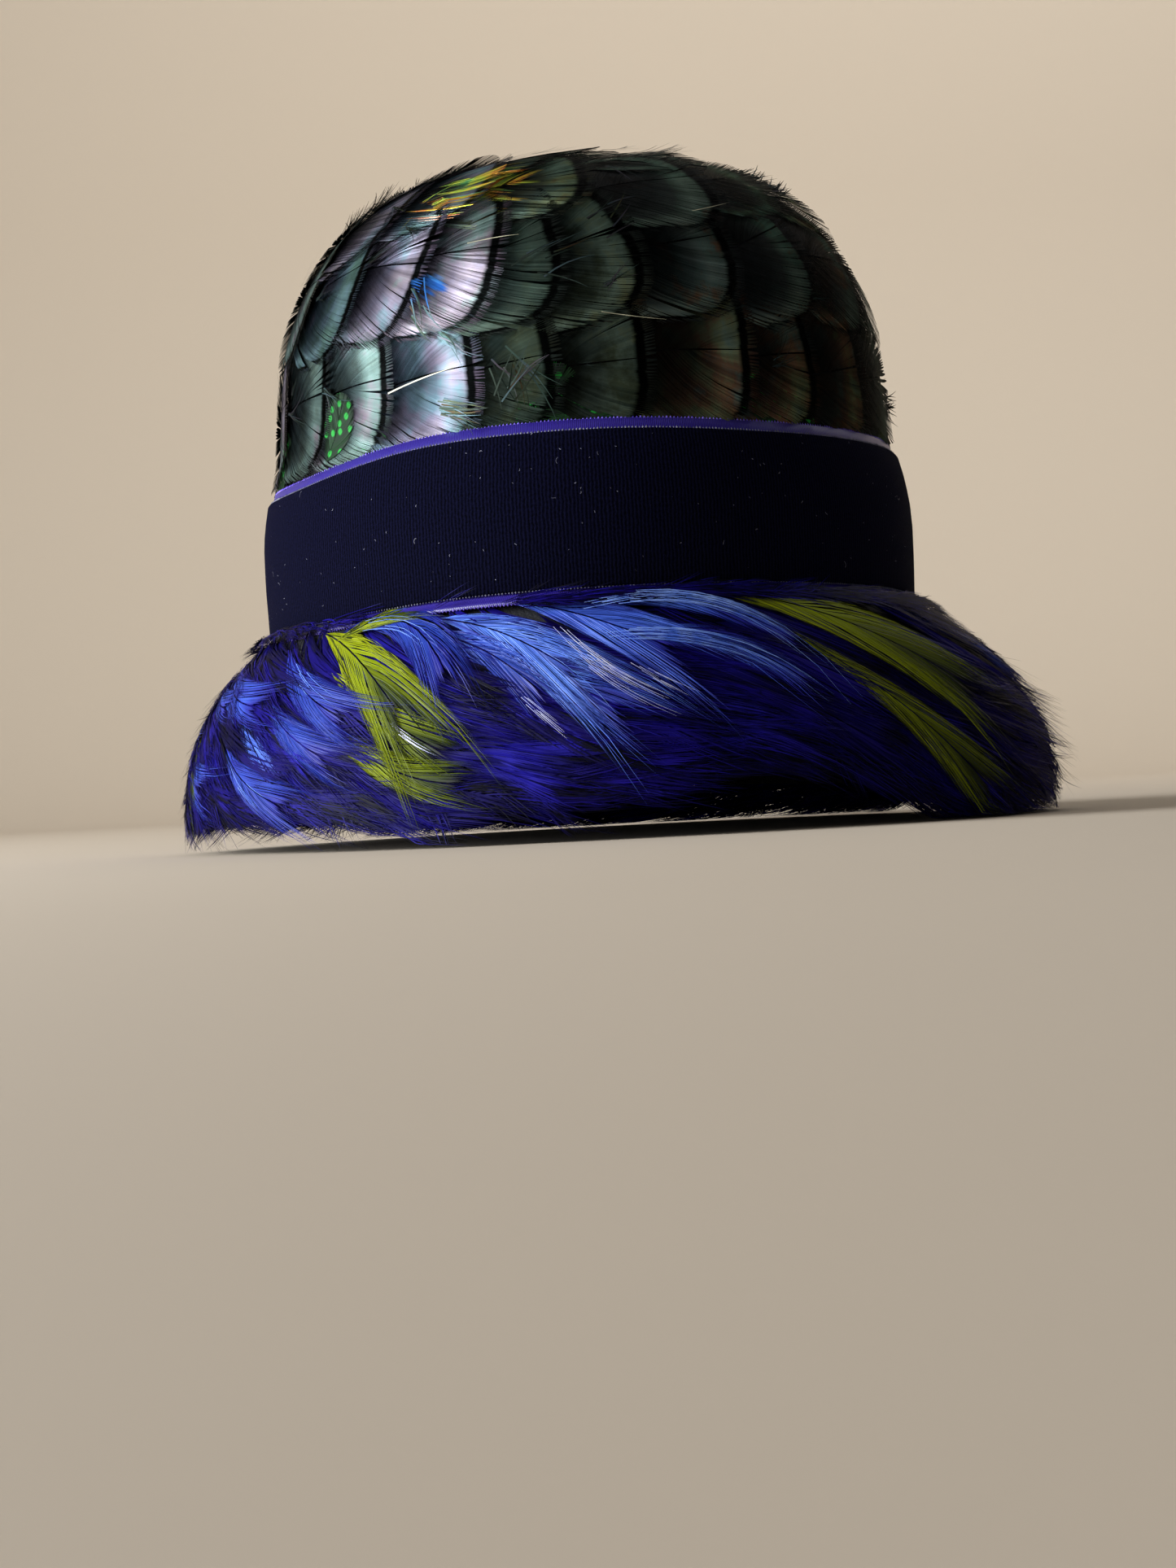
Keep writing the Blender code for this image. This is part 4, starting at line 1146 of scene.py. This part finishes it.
def makeLint(finish):
    k = lint
    rng = np.random.default_rng(k["seed"])
    count = k["count"]
    angle = rng.uniform(0, 2 * np.pi, count)
    height = rng.uniform(*k["heights"], count)
    length = rng.uniform(*k["lengths"], count)
    length = length * np.where(rng.random(count) < k["specks"], k["speckLength"], 1.0)
    heading, bend = rng.uniform(0, 2 * np.pi, count), rng.uniform(*k["bends"], count)
    u, across, up = bentStrips(heading, bend, length, np.full(count, k["width"]), k["stations"], 0)
    off = ribbon["velvetFace"] + k["off"] + k["rise"] * u * rng.random(count)[:, None, None]
    points = bandSkin(angle[:, None, None] + across / k["perRadian"],
                      height[:, None, None] + up, off)
    addPiece("lint", points, ribbonFaces(count, k["stations"]), finish)


def strayPoints(place, heading, bend, length, width, lift, stations):
    # Single barbs on the crown: strips in the dome's tangent plane, drawn on to it.
    point, level, uphill = (value[:, None, None, :] for value in crownPlace(*place))
    u, x, y = bentStrips(heading, bend, length, width, stations, 0.85)
    flat = point + x[..., None] * level + y[..., None] * uphill
    low, high = (v[:, None, None] for v in lift)
    return crownSkin(flat, np.broadcast_to(low + (high - low) * u ** 1.6, flat.shape[:-1]))


# Loose barbs of the crown that were placed one group at a time: middle angle and turn,
# number, spread of their roots, heading and its spread, length, lift and rise. The last
# ones stand up as ragged tips along the outline.
strayGroups = [
    (-12.5, 4.0, 9, 1.6, -58, 8, 0.0150, 0.0036, 0.0008),
    (-13.0, 1.4, 9, 1.0, 52, 12, 0.0120, 0.0040, 0.0008),
    (-24.0, 0.1, 22, 0.5, -16, 4, 0.0110, 0.0036, 0.0008),
    (-7.5, 22.0, 8, 3.0, 20, 12, 0.0120, 0.0034, 0.0008),
    (6.0, 30.0, 7, 2.5, 48, 14, 0.0100, 0.0034, 0.0008),
    (-30.0, 17.0, 8, 2.2, -52, 10, 0.0110, 0.0036, 0.0008),
    (28.0, 66.0, 22, 1.6, 4, 5, 0.0110, 0.0022, 0.0034),
    (56.0, 55.0, 24, 1.4, -8, 6, 0.0110, 0.0022, 0.0040),
    (62.0, 49.0, 18, 1.2, 6, 6, 0.0090, 0.0022, 0.0036),
    (-74.0, 47.0, 22, 1.4, 30, 6, 0.0100, 0.0020, 0.0030),
    (-70.0, 53.0, 18, 1.4, 36, 6, 0.0100, 0.0020, 0.0034),
    (80.0, 2.0, 22, 1.2, 4, 6, 0.0090, 0.0020, 0.0030),
]


# Small fans of loose barbs anywhere on the crown. Headings, bends and their spreads are in
# radians. The placed values are those of the groups above. greyAt is the distance from a
# vane's end, in vaneUnits, at which its dark bar turns bright.
strayFans = dict(
    fans=70, each=7, stations=5, seed=67, turns=(3, 80), headings=(0.15, 0.7), spread=0.006,
    fanned=0.22, bend=0.5, lengths=(0.006, 0.016), shares=(0.5, 1.2), lows=(0.0022, 0.0030),
    rise=0.0014, width=0.00026, placedWidth=0.00040, placedBend=0.35,
    placedShares=(0.6, 1.15), placedRises=(0.5, 1), greyAt=0.076)


def makeStrayBarbs(finish):
    k = strayFans
    rng = np.random.default_rng(k["seed"])
    fans, stations = k["fans"], k["stations"]
    angle, turn = rng.uniform(-np.pi, np.pi, fans), np.radians(rng.uniform(*k["turns"], fans))
    heading = rng.normal(*k["headings"], fans)
    length = rng.uniform(*k["lengths"], fans)
    low = rng.uniform(*k["lows"], fans)
    pick = np.repeat(np.arange(fans), k["each"])
    n = len(pick)
    place = [middle[pick] + rng.normal(0, k["spread"], n) for middle in (angle, turn)]
    sets = [strayPoints(
        place, heading[pick] + rng.normal(0, k["fanned"], n), rng.normal(0, k["bend"], n),
        length[pick] * rng.uniform(*k["shares"], n), np.full(n, k["width"]),
        (low[pick], low[pick] + rng.uniform(0, k["rise"], n)), stations)]
    for angle, turn, count, spread, heading, swing, length, high, rise in strayGroups:
        place = (np.radians(angle + rng.normal(0, spread, count)),
                 np.radians(np.abs(turn + rng.normal(0, spread, count)) + 0.01))
        sets.append(strayPoints(
            place, np.radians(heading + rng.normal(0, swing, count)),
            rng.normal(0, k["placedBend"], count), length * rng.uniform(*k["placedShares"], count),
            np.full(count, k["placedWidth"]),
            (np.full(count, high), high + rng.uniform(*k["placedRises"], count) * rise), stations))
    points = np.concatenate(sets)
    n = len(points)
    # All carry the same distance from a vane's end, where the material is grey.
    own, other = rng.random(n)[:, None, None], rng.random(n)[:, None, None]
    addPiece("strayBarbs", points, ribbonFaces(n, stations), finish,
             colours={"barbs": perPoint(points, 0.3, k["greyAt"], other, own)})


# Pale quills that lie bare: angle and turn of the root, heading, bend, length and width.
quillRows = np.array([
    (-35.0, 2.6, 13, -4, 0.022, 0.00040), (-20.0, 27.0, 6, -6, 0.013, 0.00022),
    (4.0, 11.0, -12, 8, 0.015, 0.00020), (24.0, 33.0, 14, 6, 0.012, 0.00020),
    (112.0, 9.0, 8, 4, 0.020, 0.00050), (205.0, 12.0, -6, 4, 0.018, 0.00050)])


def makeQuills(finish, stations=9, low=0.0030, high=0.0040):
    angle, turn, heading, bend = np.radians(quillRows[:, :4]).T
    count = len(quillRows)
    points = strayPoints((angle, turn), heading, bend, quillRows[:, 4], quillRows[:, 5],
                         (np.full(count, low), np.full(count, high)), stations)
    addPiece("bareQuills", points, ribbonFaces(count, stations), finish)


# Spotted feathers that peep out between the lowest crown feathers and the ribbon. The first
# one shows most, because it lies over its neighbour's root.
spotted = dict(
    barbs=26, seed=71, tips=np.r_[[-46.0, -40, -2, 6, 33, 40], np.linspace(60, 290, 20)],
    turns=(1.0, 4.0), lays=(40, 100), length=0.020, lengths=(0.85, 1.1),
    halfWidth=0.0065, widths=(0.85, 1.15), barbWidth=([0.0, 0.8, 1.0], [1.06, 1.04, 0.3]),
    front=0.4, fan=110, rootStart=0.2, rootRun=0.75, firstLift=0.0023, lift=0.0014,
    gather=0.2, splits=1, freeHeight=0.003, barbReach=0.2)   # a barb's length in vaneUnits


def makeSpotted(finish):
    k = spotted
    rng = np.random.default_rng(k["seed"])
    count, barbs, stations = len(k["tips"]), k["barbs"], crown["stations"]
    side, barb, step, edge = vaneAxes(barbs, stations)
    one = (count, 1, 1, 1, 1)
    length = k["length"] * rng.uniform(*k["lengths"], one)
    half = k["halfWidth"] * rng.uniform(*k["widths"], one)
    width = np.interp(step, *k["barbWidth"])
    place = barbPlaces(barb, step, edge, barbs, width, rng, count, k["gather"], k["splits"])
    # The outline is two half ellipses, and the barbs bow out to it.
    turn = np.radians(k["fan"]) * place
    reach = np.where(np.cos(turn) > 0, k["front"], 1 - k["front"]) * length
    endX, endY = -k["front"] * length + reach * np.cos(turn), half * np.sin(turn)
    rootX = -length * (k["rootStart"] + k["rootRun"] * place)
    x = rootX + (endX - rootX) * (0.7 * step + 0.3 * step ** 2)
    y = side * (endY * (1.3 * step - 0.3 * step ** 2) + 0.0001)
    lay = np.radians(rng.uniform(*k["lays"], one))
    x, y = x * np.cos(lay) - y * np.sin(lay), x * np.sin(lay) + y * np.cos(lay)
    own = rng.random((count, 2, barbs, 1, 1))
    lift = np.where(np.arange(count) < 1, k["firstLift"], k["lift"]).reshape(one)
    lift = lift + edge * (own - 0.5) * crown["tilt"]
    turns = np.radians(rng.uniform(*k["turns"], count))
    point, level, uphill = (
        v[:, None, None, None, None, :] for v in crownPlace(np.radians(k["tips"]), turns))
    flat = point + x[..., None] * level + y[..., None] * uphill
    points = underRibbon(flat, lift, k["freeHeight"])
    tags = perPoint(points, place, (1 - step) * k["barbReach"], rng.random(one), own)
    addPiece("spottedFeathers", points, ribbonFaces(count * 2 * barbs, stations), finish,
             ["speckled_feathers"], {"barbs": tags},
             {"vane": perPoint(points, x, y) / vaneUnit})


plumage = makeIridescentPlumage()
makeCrown(plumage)
makeStrayBarbs(plumage)
makeQuills(makeThread("pale_bare_quill", "#8d8a72", "#cfcaa8", 0.35))
makeSpotted(makeSpottedPlumage())
print("crown done")

makeRibbons(makeVelvet(), makeSatin(), makeThread("grey_picot_thread", "#3b3c4c", "#7b7c8c"),
            makeThread("violet_selvage_thread", "#4f38b8", "#8a72ee", 0.45))
makeLint(makeThread("pale_lint_fibre", "#34354a", "#747484"))
print("ribbons done")

# The colour after each hackle's tones is its painted shade, between strands and at the barbs'
# ends.
ultramarine = makeHackle(
    "ultramarine_dyed_hackle", ["#0a0436", "#0e0556", "#130970", "#1e1a90"], "#02010e", 0.52, 0.08)
cornflower = makeHackle(
    "cornflower_dyed_hackle", ["#1c3494", "#3c5cc6", "#6a94f2"], "#140f7c", 0.46, 0.30,
    fade=0.30, contrast=1.2, cover=0.85)
makeBlueHackles(ultramarine)
makeCornflower(cornflower)
makeGreenHackles(makeGreenHackle())
# The last finish, nearly white, is a painted glint.
makeBlueStrands(ultramarine, makeThread("pale_blue_barb", "#4f78dc", "#8fb0f6", 0.30),
                makeThread("painted_glint_barb", "#a4aaf0", "#eef0ff", 0.25))
print("brim done")

buckram = makeBuckram()
for name in ("crown_shell", "brim_shell"):
    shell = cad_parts[name]
    shell.data.materials.clear()
    shell.data.materials.append(buckram)

# Camera at the photograph's angle: level, just above the surface, turned 3 degrees.
photo = dict(height=1927, focalPx=4121.0)
view = dict(distance=0.885, side=-0.0079, height=0.013, roll=-3.0)
camData = bpy.data.cameras.new("camera")
camera = bpy.data.objects.new("camera", camData)
bpy.context.scene.collection.objects.link(camera)
camData.sensor_fit = "VERTICAL"
camData.sensor_height = 36.0
camData.lens = 36.0 * photo["focalPx"] / photo["height"]
camData.clip_start = 0.01
camera.matrix_world = (
    Matrix.Translation((view["side"], -view["distance"], view["height"]))
    @ Matrix.Rotation(radians(90), 4, "X") @ Matrix.Rotation(radians(view["roll"]), 4, "Z"))
bpy.context.scene.camera = camera


def addLight(name, place, target, size, watts, colour):
    # A soft rectangular lamp at a place, turned to a target.
    lamp = bpy.data.lights.new(name, "AREA")
    lamp.shape = "RECTANGLE"
    lamp.size, lamp.size_y = size
    lamp.energy = watts
    lamp.color = linear(colour)[:3]
    obj = bpy.data.objects.new(name, lamp)
    bpy.context.scene.collection.objects.link(obj)
    aim = (Vector(target) - Vector(place)).to_track_quat("-Z", "Y")
    obj.matrix_world = Matrix.Translation(place) @ aim.to_matrix().to_4x4()


# Daylight from a window at the left, weak light from the room, and a glow on the wall behind.
addLight("window", (-1.28, -0.36, 0.42), (0.0, -0.05, 0.08), (0.9, 0.82), 46.0, "#f3f8ff")
addLight("room", (-0.8, -1.4, 0.8), (0.0, 0.0, 0.08), (1.2, 1.2), 5.0, "#fff6ec")
addLight("fill", (1.1, -1.1, 0.5), (0.0, 0.0, 0.08), (0.9, 0.9), 1.6, "#e6eeff")
addLight("ceiling", (-0.2, 0.5, 1.7), (0.0, 0.2, 0.0), (1.6, 1.6), 2.5, "#fff8f0")
addLight("wallGlow", (0.5, 0.9, 1.5), (0.2, 1.9, 0.7), (1.6, 1.0), 20.0, "#f4f6fa")


def makeStage():
    # A pale seamless sheet: flat floor, then a quarter round up into a wall behind.
    radius, frontY, wallY, top, wide = 0.5, -2.6, 1.9, 2.4, 3.0
    bend = np.linspace(0, np.pi / 2, 24)
    y = np.concatenate([[frontY], wallY - radius + radius * np.sin(bend), [wallY]])
    z = np.concatenate([[0.0], radius - radius * np.cos(bend), [top]])
    rows = np.stack([np.stack([np.full_like(y, side), y, z], axis=-1) for side in (-wide, wide)])
    count = len(y)
    faces = [(k, k + count, k + count + 1, k + 1) for k in range(count - 1)]
    mesh = bpy.data.meshes.new("floorSheet")
    mesh.from_pydata(rows.reshape(-1, 3).tolist(), [], faces)
    mesh.shade_smooth()
    # Painted board, rolled matt: a pale warm grey with no gloss.
    board, _ = newMaterial("matt_painted_board", Roughness=0.85, Base_Color=linear("#c4b5a0"))
    mesh.materials.append(board)
    sheet = bpy.data.objects.new("floorSheet", mesh)
    bpy.context.scene.collection.objects.link(sheet)


makeStage()

world = bpy.data.worlds.new("room")
bpy.context.scene.world = world
world.use_nodes = True
room = world.node_tree
# The camera sees a pale wall, and the hat gets a dim grey light from all sides.
seen = addNode(room, "LightPath", {}, "Is Camera Ray")
shown = addNode(room, "Mix", {0: seen, 6: linear("#767a80", 0.12), 7: linear("#d8ccbc")}, 2,
                data_type="RGBA")
room.links.new(shown, room.nodes["Background"].inputs["Color"])
bpy.context.scene.view_settings.view_transform = "Standard"
print("camera, lights and stage done")
